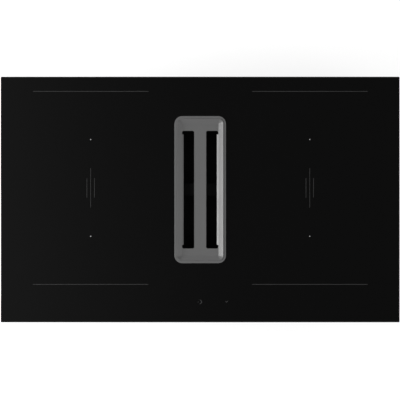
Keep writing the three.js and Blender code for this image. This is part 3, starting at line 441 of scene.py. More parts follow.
# Stainless mesh given a much darker colour than its metal: painted shade inside the filter basket below the
# slots.
SHADED_MESH = Finish(
    "stainless_mesh_painted_shade", Slot.STAINLESS, grey(92), 0.42, Relief.BRUSHED, 2400.0, 0.008, metallic=1.0, tint=0.06
)
GREY_MOULDING = Finish(
    "grey_moulding", Slot.GREY_PLASTIC, grey(78), 0.52, Relief.GRAIN, 1300.0, 0.05, tint=0.07
)
FOAM_STRIP = Finish("foam_strip", Slot.FOAM, grey(34), 0.9, Relief.CELLS, 2200.0, 0.2, tint=0.2)
SEALANT = Finish("sealant_bead", Slot.SILICONE, grey(44), 0.45, Relief.GRAIN, 300.0, 0.12)
LITZ = Finish(
    "litz_wire", Slot.COPPER, (0.42, 0.14, 0.05), 0.36, Relief.STRANDS, 260.0, 0.15, metallic=1.0, tint=0.3
)
MICA = Finish("mica_sheet", Slot.INSULATOR, (0.62, 0.56, 0.45), 0.6, Relief.CELLS, 900.0, 0.03, tint=0.1)
CERAMIC = Finish("ceramic_block", Slot.INSULATOR, (0.66, 0.64, 0.58), 0.35, Relief.GRAIN, 900.0, tint=0.03)
SOLDER_MASK = Finish(
    "solder_mask", Slot.BOARD, (0.01, 0.085, 0.036), 0.3, Relief.TRACES, 190.0, tint=0.22, coat=0.3
)


# ---------------------------------------------------------------------------------- modelling


@dataclass(frozen=True)
class Axis:
    """An upright axis of arcs, or of a spiral that grows by some millimetres a degree at the most."""

    x: float
    y: float
    growth: float = 0.0


@dataclass(frozen=True)
class Plan:
    """A rectangle with rounded corners, seen from above."""

    width: float
    length: float
    corner: float = 0.0
    x: float = 0.0
    y: float = 0.0

    def at(self, x: float, y: float) -> Self:
        """The same rectangle in another place."""
        return replace(self, x=x, y=y)

    def inset(self, by: float) -> Self:
        """The same rectangle with every side moved in, or out by a negative distance."""
        corner = max(self.corner - by, LEAST_CORNER)
        return replace(self, width=self.width - 2 * by, length=self.length - 2 * by, corner=corner)

    def axes(self) -> list[Axis]:
        """The upright axes of its four rounded corners."""
        x, y = self.width / 2 - self.corner, self.length / 2 - self.corner
        return [Axis(self.x + across * x, self.y + along * y) for across, along in QUARTERS]


class Along(Enum):
    """The axis that a swept strip runs along, as the rows of the turn from an upright prism."""

    X = ((0, 0, 1), (1, 0, 0), (0, 1, 0))
    Y = ((1, 0, 0), (0, 0, 1), (0, 1, 0))


def arc(
    cx: float, cy: float, radius: float, start_deg: float, end_deg: float, steps: int
) -> list[Point2]:
    """Points along an arc, ends included."""
    turn = (math.radians(start_deg + (end_deg - start_deg) * i / steps) for i in range(steps + 1))
    return [(cx + radius * math.cos(a), cy + radius * math.sin(a)) for a in turn]


def placed(name: str, data: ID) -> Object:
    """Adds an object to the scene, at the origin.

    Args:
        name: Its name.
        data: Its mesh, lamp or camera.

    Returns:
        The object.
    """
    made = bpy.data.objects.new(name, data)
    bpy.context.scene.collection.objects.link(made)
    return made


class Form:
    """A shape that is modelled in millimetres and ends as a finished piece in metres."""

    def __init__(self) -> None:
        """Starts with nothing in it."""
        self.bm: BMesh = bmesh.new()

    def fresh(self, known: set[BMVert]) -> list[BMVert]:
        """The vertices that aren't in a set of known ones."""
        return [v for v in self.bm.verts if v not in known]

    def outline(self, plan: Plan, z: float, steps: int) -> list[BMEdge]:
        """Adds the loop round a rectangle with rounded corners.

        Args:
            plan: The rectangle.
            z: Its height.
            steps: Facets in each corner.

        Returns:
            The edges of the loop.
        """
        known = set(self.bm.verts)
        bmesh.ops.create_grid(self.bm, x_segments=1, y_segments=1, size=0.5)
        made = self.fresh(known)
        bmesh.ops.scale(self.bm, vec=(plan.width, plan.length, 1.0), verts=made)
        bmesh.ops.translate(self.bm, vec=(plan.x, plan.y, z), verts=made)
        if plan.corner > 0:
            bmesh.ops.bevel(
                self.bm, geom=made, offset=plan.corner, offset_type="OFFSET", segments=steps,
                profile=0.5, affect="VERTICES", material=-1,
            )
        made = self.fresh(known)
        faces = list({f for v in made for f in v.link_faces})
        edges = list({e for v in made for e in v.link_edges})
        bmesh.ops.delete(self.bm, geom=faces, context="FACES_ONLY")
        return edges

    def loft(self, plan: Plan, profile: Sequence[Point2], steps: int, joined: bool = False) -> Self:
        """Adds a surface through rings of one rectangle.

        Args:
            plan: The rectangle.
            profile: For each ring, how far it is moved in and its height.
            steps: Facets in each corner.
            joined: Whether the last ring joins the first; otherwise both ends are closed.

        Returns:
            This form.
        """
        rings = [*profile, profile[0]] if joined else profile
        for pair in zip(rings, rings[1:]):
            edges = [edge for by, z in pair for edge in self.outline(plan.inset(by), z, steps)]
            bmesh.ops.bridge_loops(self.bm, edges=edges)
        if not joined:
            for by, z in (profile[0], profile[-1]):
                bmesh.ops.contextual_create(self.bm, geom=self.outline(plan.inset(by), z, steps))
        bmesh.ops.remove_doubles(self.bm, verts=self.bm.verts, dist=MERGE)
        return self

    def turned(self, profile: Sequence[Point2], steps: int, place: Point3 = (0.0, 0.0, 0.0)) -> Self:
        """Adds a round shape about an upright axis.

        Args:
            profile: Radius and height of each point, from axis to axis.
            steps: Facets in the full turn.
            place: Where the axis is, and the level that the heights start from.

        Returns:
            This form.
        """
        known = set(self.bm.verts)
        verts = [self.bm.verts.new((r, 0.0, z)) for r, z in profile]
        edges = [self.bm.edges.new(pair) for pair in zip(verts, verts[1:])]
        bmesh.ops.spin(
            self.bm, geom=verts + edges, cent=(0, 0, 0), axis=(0, 0, 1), angle=2 * math.pi, steps=steps,
            use_merge=True, use_duplicate=False,
        )
        bmesh.ops.translate(self.bm, vec=place, verts=self.fresh(known))
        bmesh.ops.remove_doubles(self.bm, verts=self.bm.verts, dist=MERGE)
        return self

    def prism(self, outline: Sequence[Point2], low: float, high: float) -> list[BMVert]:
        """Adds an upright block over an outline in X and Y.

        Args:
            outline: The corners in order.
            low: Its lower face.
            high: Its upper face.

        Returns:
            The new vertices.
        """
        known = set(self.bm.verts)
        face = self.bm.faces.new([self.bm.verts.new((x, y, low)) for x, y in outline])
        top = bmesh.ops.extrude_face_region(self.bm, geom=[face])["geom"]
        lifted = [v for v in top if isinstance(v, BMVert)]
        bmesh.ops.translate(self.bm, vec=(0, 0, high - low), verts=lifted)
        return self.fresh(known)

    def block(self, low: Sequence[float], high: Sequence[float]) -> None:
        """Adds a box.

        Args:
            low: Its lowest corner.
            high: Its highest corner.
        """
        low, high = Vector(low), Vector(high)
        place = Matrix.Translation((low + high) / 2) @ Matrix.Diagonal((*(high - low), 1.0))
        bmesh.ops.create_cube(self.bm, size=1.0, matrix=place)

    def swept(self, section: Sequence[Point2], low: float, high: float, along: Along) -> None:
        """Adds a strip along an axis from low to high, over a section in points across and up."""
        made = self.prism(section, low, high)
        bmesh.ops.transform(self.bm, matrix=Matrix(along.value).to_4x4(), verts=made)

    def repeat(self, verts: Iterable[BMVert], places: Iterable[Matrix]) -> None:
        """Copies part of the form to other places.

        Args:
            verts: The vertices of the part.
            places: One transform for each copy.
        """
        chosen = set(verts)
        faces = [f for f in self.bm.faces if all(v in chosen for v in f.verts)]
        for place in places:
            copied = bmesh.ops.duplicate(self.bm, geom=faces)["geom"]
            bmesh.ops.transform(self.bm, matrix=place, verts=[v for v in copied if isinstance(v, BMVert)])

    def flatten(self) -> None:
        """Joins the faces that lie in one plane, unless that would lose a hole in one of them."""
        before = self.bm.calc_volume()
        joined = self.bm.copy()
        bmesh.ops.dissolve_limit(
            joined, angle_limit=math.radians(ONE_PLANE_DEG), verts=joined.verts, edges=joined.edges
        )
        if abs(joined.calc_volume() - before) < abs(before) * VOLUME_SLACK:
            self.bm, joined = joined, self.bm
        joined.free()

    def round_out(self, axis: Axis) -> None:
        """Turns the level chords about an upright axis into arcs, or into stretches of a spiral.

        Args:
            axis: The axis.
        """
        middle = Vector((axis.x, axis.y))
        reach = self.bm.verts.layers.float.new("reach")
        for v in self.bm.verts:
            v[reach] = (v.co.xy - middle).length
        known = set(self.bm.verts)
        chords = [e for e in self.bm.edges if self.is_chord(e, axis)]
        bmesh.ops.subdivide_edges(self.bm, edges=chords, cuts=CHORD_CUTS, use_grid_fill=True)
        for v in self.fresh(known):
            out = v.co.xy - middle
            if out.length:
                v.co.xy = middle + out * (v[reach] / out.length)
        self.bm.verts.layers.float.remove(reach)

    @staticmethod
    def is_chord(edge: BMEdge, axis: Axis) -> bool:
        """Tells whether an edge is a chord of an arc, or of a spiral.

        Args:
            edge: The edge.
            axis: The axis of the arc.

        Returns:
            Whether it is level and spans a small turn without leaving or nearing the axis much.
        """
        one, other = (v.co.xy - Vector((axis.x, axis.y)) for v in edge.verts)
        level = abs(edge.verts[0].co.z - edge.verts[1].co.z) < CHORD_LEVEL
        if not level or min(one.length, other.length) < CHORD_REACH:
            return False
        turn = abs(math.degrees(one.angle_signed(other)))
        low, high = CHORD_TURN_DEG
        return low < turn < high and abs(one.length - other.length) < CHORD_LEVEL + axis.growth * turn

    def soften(self, width: float, segments: int = 2) -> Self:
        """Rounds the edges at which the surface clearly turns.

        Args:
            width: How far the rounding reaches.
            segments: Facets across it.

        Returns:
            This form.
        """
        bmesh.ops.recalc_face_normals(self.bm, faces=self.bm.faces)
        least = math.radians(SOFTEN_DEG)
        edges = [e for e in self.bm.edges if e.is_manifold and e.calc_face_angle(0.0) > least]
        bmesh.ops.bevel(
            self.bm, geom=edges, offset=width, offset_type="OFFSET", segments=segments, profile=0.5,
            affect="EDGES", clamp_overlap=True, material=-1,
        )
        return self

    def mesh(self, name: str, scale: float = MM) -> Mesh:
        """Ends the modelling: merges the vertices and turns the faces outwards.

        Args:
            name: The mesh's name.
            scale: What its size is multiplied by.

        Returns:
            The mesh, in metres unless the scale says otherwise.
        """
        bmesh.ops.remove_doubles(self.bm, verts=self.bm.verts, dist=MERGE)
        bmesh.ops.recalc_face_normals(self.bm, faces=self.bm.faces)
        bmesh.ops.scale(self.bm, vec=(scale,) * 3, verts=self.bm.verts)
        made = bpy.data.meshes.new(name)
        self.bm.to_mesh(made)
        self.bm.free()
        return made

    def piece(
        self, name: str, finish: Finish, replaces: Sequence[str] = (), body: Body = Body.COOKTOP,
        sharp: float = SHARP_DEG,
    ) -> None:
        """Ends the modelling as a dressed object that rides on a body.

        Args:
            name: The piece's name.
            finish: What it is dressed in.
            replaces: CAD nodes that it stands for.
            body: The CAD body that it rides on.
            sharp: The least turn in degrees that stays a sharp edge in the shading.
        """
        made = placed(name, self.mesh(name))
        made.data.materials.append(finish.material())
        made.data.shade_smooth()
        made.data.set_sharp_from_angle(angle=math.radians(sharp))
        even_normals(made)
        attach(made, body.value)
        if replaces:
            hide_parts(*replaces)
        log.info("%s: %d faces", made.name, len(made.data.polygons))


def even_normals(made: Object) -> None:
    """Makes the normals follow the larger faces, so that flat faces look flat beside rounded edges.

    Args:
        made: The object.
    """
    made.modifiers.new("even", "WEIGHTED_NORMAL").keep_sharp = True
    bpy.context.view_layer.update()
    plain = made.data
    made.data = bpy.data.meshes.new_from_object(made.evaluated_get(bpy.context.evaluated_depsgraph_get()))
    made.modifiers.clear()
    bpy.data.meshes.remove(plain)


def carve(target: Form, tools: Form) -> Form:
    """Cuts the shapes of one form out of another.

    Args:
        target: What is cut.
        tools: The cutting shapes.

    Returns:
        The rest of the target.
    """
    whole = placed("whole", target.mesh("whole", 1.0))
    knife = placed("knife", tools.mesh("knife", 1.0))
    cut = whole.modifiers.new("cut", "BOOLEAN")
    cut.operation, cut.solver, cut.object = "DIFFERENCE", "EXACT", knife
    bpy.context.view_layer.update()
    rest = Form()
    rest.bm.from_object(whole, bpy.context.evaluated_depsgraph_get())
    for made in (whole, knife):
        bpy.data.objects.remove(made)
    return rest


def refined(
    node: str, finish: Finish, edge: Edge, axes: Sequence[Axis] = (), body: Body = Body.COOKTOP
) -> None:
    """Copies a CAD node, rounds its edges and shades its curves smooth; the piece stands for the node.

    Args:
        node: The CAD node.
        finish: What the piece is dressed in.
        edge: How far its edges are rounded.
        axes: Upright axes about which its chords are turned into arcs.
        body: The CAD body that it rides on.
    """
    form = Form()
    form.bm.from_mesh(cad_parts[node].data)
    bmesh.ops.scale(form.bm, vec=(1 / MM,) * 3, verts=form.bm.verts)
    bmesh.ops.remove_doubles(form.bm, verts=form.bm.verts, dist=CAD_MERGE)
    form.flatten()
    for axis in axes:
        form.round_out(axis)
    if edge.value:
        form.soften(edge.value)
    form.piece(node + "_fine", finish, [node], body)


# ---------------------------------------------------------------------------------- the top


@dataclass
class GlassTop:
    """The sheet of black glass ceramic with its printed marks.

    The joint is the thin line between the two places of a zone, and a twin runs on each side of it. The
    moon and the wing are the touch marks; an arc of the moon is a radius and half its turn in degrees.
    """

    plan: Plan = Plan(830.0, 511.0, 2.0)
    opening: Plan = Plan(99.0, 298.0, 12.0, 0.0, 20.5)
    under: float = 2.5
    top: float = 6.5
    bevel: float = 0.45
    through: float = 5.0
    ink: float = 0.03
    zone: Point2 = (228.0, 24.2)
    line_half: float = 120.2
    line_reach: float = 200.8
    line_width: float = 0.9
    joint_half: float = 41.0
    twin_half: float = 20.0
    twin_gap: float = 7.8
    thin_width: float = 0.8
    dot_radius: float = 1.1
    dot_reach: float = 100.7
    moon: Point2 = (-0.6, -213.1)
    moon_outer: Point2 = (4.3, 105.0)
    moon_inner: Point2 = (3.8, 85.0)
    moon_shift: float = 1.2
    moon_dot: Plan = Plan(1.0, 2.4, 0.0, -3.7, 0.0)
    wing: Point2 = (54.8, -213.1)
    wing_outline: tuple[Point2, ...] = (
        (-2.4, 1.7), (-0.2, -1.6), (3.6, 2.4), (2.9, 3.1), (-0.1, 0.1), (-1.7, 2.2)
    )

    def build(self) -> None:
        """Builds the sheet and the two inks."""
        self.sheet()
        self.dots()
        self.lines()

    def sheet(self) -> None:
        """Builds the glass, with its edges ground off all round."""
        bevel, low, high = self.bevel, self.under, self.top
        profile = [(bevel, low), (0.0, low + bevel), (0.0, high - bevel), (bevel, high)]
        form = Form().loft(self.plan, profile, steps=6)
        hole = Form().loft(self.opening, [(0.0, low - self.through), (0.0, high + self.through)], steps=10)
        carve(form, hole).piece("glass_sheet", GLASS_CERAMIC, ["glass_ceramic_top"])

    def dots(self) -> None:
        """Builds the dot in the middle of each cooking place."""
        form = Form()
        profile = [(0.0, 0.0), (self.dot_radius, 0.0), (self.dot_radius, self.ink), (0.0, self.ink)]
        for side, end in QUARTERS:
            place = (side * self.zone[0], self.zone[1] + end * self.dot_reach, self.top)
            form.turned(profile, steps=20, place=place)
        form.piece("place_dots", DOT_INK)

    def stroke(self, form: Form, mark: Plan) -> None:
        """Adds a straight printed line or block to a form."""
        x, y = mark.width / 2, mark.length / 2
        form.block((mark.x - x, mark.y - y, self.top), (mark.x + x, mark.y + y, self.top + self.ink))

    def lines(self) -> None:
        """Builds the zone lines, the marks that join the places of a zone, and the touch marks."""
        form = Form()
        line = Plan(2 * self.line_half, self.line_width)
        joint, twin = (Plan(self.thin_width, 2 * half) for half in (self.joint_half, self.twin_half))
        for side in SIDES:
            x, y = side * self.zone[0], self.zone[1]
            for end in SIDES:
                self.stroke(form, line.at(x, y + end * self.line_reach))
            self.stroke(form, joint.at(x, y))
            for end in SIDES:
                self.stroke(form, twin.at(x + end * self.twin_gap, y))
        self.touch_moon(form)
        self.touch_wing(form)
        form.piece("zone_and_touch_lines", LINE_INK)

    def touch_moon(self, form: Form) -> None:
        """Adds the on mark: a thick crescent, open to the left, with a dot in its opening.

        Args:
            form: The print.
        """
        x, y = self.moon
        (outer, wide), (inner, narrow) = self.moon_outer, self.moon_inner
        crescent = arc(x, y, outer, -wide, wide, steps=20)
        crescent += arc(x - self.moon_shift, y, inner, narrow, -narrow, steps=16)
        form.prism(crescent, self.top, self.top + self.ink)
        self.stroke(form, self.moon_dot.at(x + self.moon_dot.x, y))

    def touch_wing(self, form: Form) -> None:
        """Adds the fan mark: a small tick."""
        outline = [(self.wing[0] + x, self.wing[1] + y) for x, y in self.wing_outline]
        form.prism(outline, self.top, self.top + self.ink)


@dataclass
class Grille:
    """The dished air grille: a flat rim, a step up to a crest, a sloping band and a slotted floor.

    A lip carries the band's slope on over the outer edge of each slot and turns down into it.
    """

    plan: Plan = Plan(107.0, 306.0, 16.0, 0.0, 20.5)
    under: float = 6.8
    top: float = 9.8
    rim: float = 5.5
    step: float = 1.8
    crest: float = 0.25
    crest_points: tuple[Point2, ...] = ((-0.4, 1.0), (0.0, 0.2), (1.0, 0.3))
    band: float = 10.5
    band_shares: tuple[float, ...] = (0.08, 0.25, 0.5, 0.75, 0.92, 1.0)
    crown: float = 0.1
    dish: float = 5.5
    wall: float = 3.0
    edge: float = 0.25
    foot: float = 0.2
    skirt_out: float = 5.0
    skirt: float = 12.0
    skirt_ease: float = 1.0
    slot: Plan = Plan(25.0, 245.0, 3.5, 25.0, 20.5)
    through: float = 20.0
    lip_reach: float = 3.0
    lip_drop: float = 8.8
    lip_half: float = 115.0
    lip_wall: float = 1.6
    lip_turn: float = 1.6
    lip_start_deg: float = 38.0
    lip_tail_deg: float = 27.6
    lip_sharp_deg: float = 40.0
    lip_back: tuple[Point2, ...] = ((-1.4, 6.0), (-0.6, 3.2), (1.6, 2.5))

    @property
    def floor(self) -> float:
        """The level of the dish's floor."""
        return self.top - self.dish

    def build(self) -> None:
        """Builds the dish and the lips along its slots."""
        self.dish_piece()
        for side, name in zip(SIDES, ("left", "right")):
            self.lip(side, name)

    def profile(self) -> list[Point2]:
        """Lists the rings of the dish, from the floor's underside round to its top.

        Returns:
            How far in and how high each ring is.
        """
        inner, low, flat = self.skirt_out + self.wall, self.under - self.wall, self.top - self.step
        return [
            (self.rim + self.band, self.floor - self.wall), (inner + self.skirt_ease, low),
            (inner, low - self.skirt_ease), (inner, self.under - self.skirt),
            (self.skirt_out, self.under - self.skirt), (self.skirt_out, self.under),
            (self.foot, self.under), (0.0, self.under + self.foot),
            *arc(self.edge, flat - self.edge, self.edge, 180, 90, steps=5), (self.rim - self.crest, flat),
            *((self.rim + x * self.crest, self.top - z * self.crest) for x, z in self.crest_points),
            *((self.rim + self.band * t, self.top - self.dish * t * (1 + self.crown * (1 - t)))
              for t in self.band_shares),
        ]

    def dish_piece(self) -> None:
        """Builds the coated dish with its two slots."""
        form = Form().loft(self.plan, self.profile(), steps=10)
        tools = Form()
        for side in SIDES:
            slot = self.slot.at(side * self.slot.x, self.slot.y)
            tools.loft(slot, [(0.0, self.floor - self.through), (0.0, self.floor + self.through)], steps=6)
        carve(form, tools).piece("grille_dish", GRILLE_COAT, ["air_grille"], Body.GRILLE)

    def lip_section(self) -> list[Point2]:
        """Draws the right-hand lip: down the band's line, a tight turn, and back up inside.

        Returns:
            The lip's outline across its slot.
        """
        outer = self.slot.x + self.slot.width / 2
        inner, foot = outer - self.lip_reach, self.floor - self.lip_drop
        start, tail = math.radians(self.lip_start_deg), math.radians(self.lip_tail_deg)
        flat = self.lip_reach - self.lip_turn * (1 - math.sin(start))
        level = self.floor - flat * math.tan(start) - self.lip_turn * math.cos(start)
        return [
            (outer + self.lip_wall, self.floor + self.lip_wall * math.tan(tail)), (outer, self.floor),
            *arc(inner + self.lip_turn, level, self.lip_turn, 90 + self.lip_start_deg, 180, steps=8),
            (inner, foot), (inner + self.lip_wall, foot),
            *((outer + x, self.floor - z) for x, z in self.lip_back),
        ]

    def lip(self, side: int, name: str) -> None:
        """Builds the lip along the outer edge of a slot.

        Args:
            side: -1 for the left, 1 for the right.
            name: The side's name.
        """
        form = Form()
        section = [(side * x, z) for x, z in self.lip_section()]
        form.swept(section, self.plan.y - self.lip_half, self.plan.y + self.lip_half, Along.Y)
        form.piece("grille_lip_" + name, GRILLE_COAT, (), Body.GRILLE, self.lip_sharp_deg)


# ---------------------------------------------------------------------------------- studio


@dataclass(frozen=True)
class Lamp:
    """A soft rectangular lamp that faces the middle of the glass, in metres and watts."""

    name: str
    place: Point3
    size: Point2
    power: float

    def hang(self) -> None:
        """Adds the lamp to the scene."""
        data = bpy.data.lights.new(self.name, "AREA")
        data.shape, data.energy = "RECTANGLE", self.power
        data.size, data.size_y = self.size
        made = placed(self.name, data)
        made.location = self.place
        made.rotation_euler = (-Vector(self.place)).to_track_quat("-Z", "Y").to_euler()


def mirrored(net: Net, path: Sequence[NodeSocket]) -> NodeSocket:
    """Whether a ray is a reflection, or has passed through glass."""
    return net.math("MAXIMUM", path["Is Glossy Ray"], path["Is Transmission Ray"])


@dataclass
class Studio:
    """Floor, lamps, world and camera, with their lengths in metres."""

    view_width: float = 0.8324
    middle: Point2 = (-0.000385, -0.00102)
    distance: float = 6.0
    far: float = 100.0
    sensor_mm: float = 36.0
    floor_half_mm: float = 12000.0
    floor_gap: float = 0.002
    floor_shade: float = 0.3
    glow: float = 0.8
    horizon: Point2 = (0.02, 0.45)
    ceiling: Point2 = (0.055, 0.17)
    slant: Point3 = (-11.0, -2.0, 0.22)
    ambient: float = 0.52
    lamps: tuple[Lamp, ...] = (
        Lamp("soft_key", (-1.95, -0.12, 0.86), (0.8, 1.6), 42.5),
        Lamp("soft_strip", (-2.4, -0.12, 0.55), (0.3, 1.6), 19.0),
        Lamp("soft_fill", (2.1, -0.3, 1.5), (1.2, 1.6), 11.0),
    )

    def build(self) -> None:
        """Builds the whole studio."""
        self.floor()
        self.world()
        for lamp in self.lamps:
            lamp.hang()
        self.camera()
        bpy.context.scene.view_settings.view_transform = "Standard"

    def floor(self) -> None:
        """A pale floor just below the object, white to the camera and in reflections."""
        form = Form()
        bmesh.ops.create_grid(form.bm, x_segments=1, y_segments=1, size=self.floor_half_mm)
        made = placed("floor", form.mesh("floor"))
        made.location.z = cad_box[0][2] - self.floor_gap
        finish = bpy.data.materials.new("pale_floor")
        net = Net.of(finish)
        path = net.add("LightPath").outputs
        seen = net.math("MAXIMUM", path["Is Camera Ray"], mirrored(net, path))
        glow = net.add("Emission", Color=(1, 1, 1, 1), Strength=net.math("MULTIPLY", seen, self.glow))
        matt = net.add("BsdfDiffuse", Color=(*(self.floor_shade,) * 3, 1))
        both = net.add("AddShader", None, glow.outputs[0], matt.outputs[0])
        net.add("OutputMaterial", Surface=both.outputs[0])
        made.data.materials.append(finish)

    def world(self) -> None:
        """White towards the horizon and dim overhead where it is mirrored, plain light for the rest."""
        room = bpy.data.worlds.new("room")
        bpy.context.scene.world = room
        net = Net.of(room)
        path = net.add("LightPath").outputs
        ray = net.add("SeparateXYZ", Vector=net.add("TexCoord").outputs["Generated"]).outputs
        low, high = self.horizon
        height = net.add(
            "MapRange", {"interpolation_type": "SMOOTHSTEP"},
            Value=ray["Z"], From_Min=low, From_Max=high, To_Min=1.0, To_Max=self.overhead(net, ray),
        )
        plain = net.math("MULTIPLY", path["Is Diffuse Ray"], self.ambient)
        reflected = net.math("MULTIPLY", mirrored(net, path), height.outputs[0])
        strength = net.math("MAXIMUM", net.math("MAXIMUM", plain, reflected), path["Is Camera Ray"])
        light = net.add("Background", Color=(1, 1, 1, 1), Strength=strength)
        net.add("OutputWorld", Surface=light.outputs[0])

    def overhead(self, net: Net, ray: Sequence[NodeSocket]) -> NodeSocket:
        """Makes the ceiling brighter to the left and front, as beside a window.

        Args:
            net: The world's nodes.
            ray: The direction's parts along X, Y and Z.

        Returns:
            How bright the ceiling is in that direction.
        """
        across, along, level = self.slant
        turn = net.math("MULTIPLY_ADD", ray[0], across, net.math("MULTIPLY_ADD", ray[1], along, level))
        turn.node.use_clamp = True
        low, high = self.ceiling
        return net.math("MULTIPLY_ADD", net.math("MULTIPLY", turn, turn), high - low, low)

    def camera(self) -> None:
        """A long lens straight above, framed as the photograph is."""
        data = bpy.data.cameras.new("camera")
        data.sensor_width = self.sensor_mm
        data.lens = self.sensor_mm * self.distance / self.view_width
        data.clip_end = self.far
        made = placed("camera", data)
        made.location = (*self.middle, self.distance + GlassTop.top * MM)
        bpy.context.scene.camera = made


# ---------------------------------------------------------------------------------- fasteners


class Facing(Enum):
    """Which way a screw's head faces, as a turn in degrees about an axis from facing up."""

    DOWN = ("X", 180.0)
    FRONT = ("X", 90.0)
    LEFT = ("Y", -90.0)
    RIGHT = ("Y", 90.0)

    def turn(self) -> Matrix:
        """The rotation from facing up."""
        axis, degrees = self.value
        return Matrix.Rotation(math.radians(degrees), 4, axis)


Seat = tuple[Point3, Facing]


@dataclass(frozen=True)
class Screw:
    """A pan-head screw with a cross recess, of which only the head shows.

    The dome and the recess's arm are shares of the head's size.
    """

    radius: float = 3.2
    high: float = 1.9
    recess: float = 1.0
    clear: float = 1.0
    dome: tuple[Point2, ...] = ((0.0, 0.0), (1.0, 0.0), (1.0, 0.45), (0.8, 0.85), (0.45, 1.0), (0.0, 1.0))
    arm: Point2 = (0.5, 0.12)

    def head(self) -> Form:
        """Models the head.

        Returns:
            The head, standing on Z = 0.
        """
        form = Form().turned([(self.radius * r, self.high * z) for r, z in self.dome], steps=16)
        long, thin = (self.radius * share for share in self.arm)
        arm = [(long, -thin), (long, thin), (thin, thin)]
        turns = ((1, 0), (0, 1), (-1, 0), (0, -1))
        cross = Form()
        cross.prism(
            [(x * c - y * s, x * s + y * c) for c, s in turns for x, y in arm],
            self.high - self.recess, self.high + self.clear,
        )
        return carve(form, cross)

    def row(self, name: str, seats: Iterable[Seat]) -> None:
        """Builds one piece with a head on each seat.

        Args:
            name: The piece's name.
            seats: Where each head sits, and which way it faces.
        """
        form = self.head()
        seed = list(form.bm.verts)
        form.repeat(seed, [Matrix.Translation(Vector(at)) @ facing.turn() for at, facing in seats])
        bmesh.ops.delete(form.bm, geom=seed, context="VERTS")
        form.piece(name, BRIGHT_STEEL)


# ---------------------------------------------------------------------------------- tray and filter


@dataclass
class Tray:
    """The zinc-coated tray that hangs from the glass, with its springs, seal and sealant."""

    plan: Plan = Plan(772.0, 472.0, 8.0)
    under: float = -50.3
    fan: Point2 = (322.0, -115.0)
    fan_screw: Point2 = (35.6, 35.6)
    board: Point2 = (228.0, 90.0)
    board_screw: Point2 = (98.0, 113.0)
    hidden_x: Point2 = (60.0, 286.0)
    hidden_y: float = 120.0
    spring: Point2 = (387.6, 150.0)
    rivet_z: Point2 = (-11.2, -38.8)

    def build(self) -> None:
        """Builds the tray and what belongs to it."""
        refined("hob_tray", ZINC_COAT, Edge.PLAIN)
        refined("worktop_seal", FOAM_STRIP, Edge.BROAD)
        refined("glass_bond", SEALANT, Edge.FINE, self.plan.axes())
        refined("shaft_bond", SEALANT, Edge.FINE, GlassTop.opening.axes())
        for place in ("front_left", "rear_left", "front_right", "rear_right"):
            refined("centring_spring_" + place, BRIGHT_STEEL, Edge.WIRE)
        Screw().row("tray_screws", self.screws())
        Screw(radius=2.6, high=1.1, recess=0.4).row("spring_rivets", self.rivets())

    def screws(self) -> Iterator[Seat]:
        """Lists the screws under the fans and the power boards, where the extractor doesn't hide them.

        Returns:
            The seat of each.
        """
        for side in SIDES:
            for middle, reach in ((self.fan, self.fan_screw), (self.board, self.board_screw)):
                for across, along in QUARTERS:
                    x, y = side * middle[0] + across * reach[0], middle[1] + along * reach[1]
                    if not (self.hidden_x[0] < x < self.hidden_x[1] and y < self.hidden_y):
                        yield (x, y, self.under), Facing.DOWN

    def rivets(self) -> Iterator[Seat]:
        """Lists the two rivets of each centring spring.

        Returns:
            The seat of each.
        """
        x, y = self.spring
        for side, facing in zip(SIDES, (Facing.LEFT, Facing.RIGHT)):
            for end in SIDES:
                for z in self.rivet_z:
                    yield (side * x, end * y, z), facing


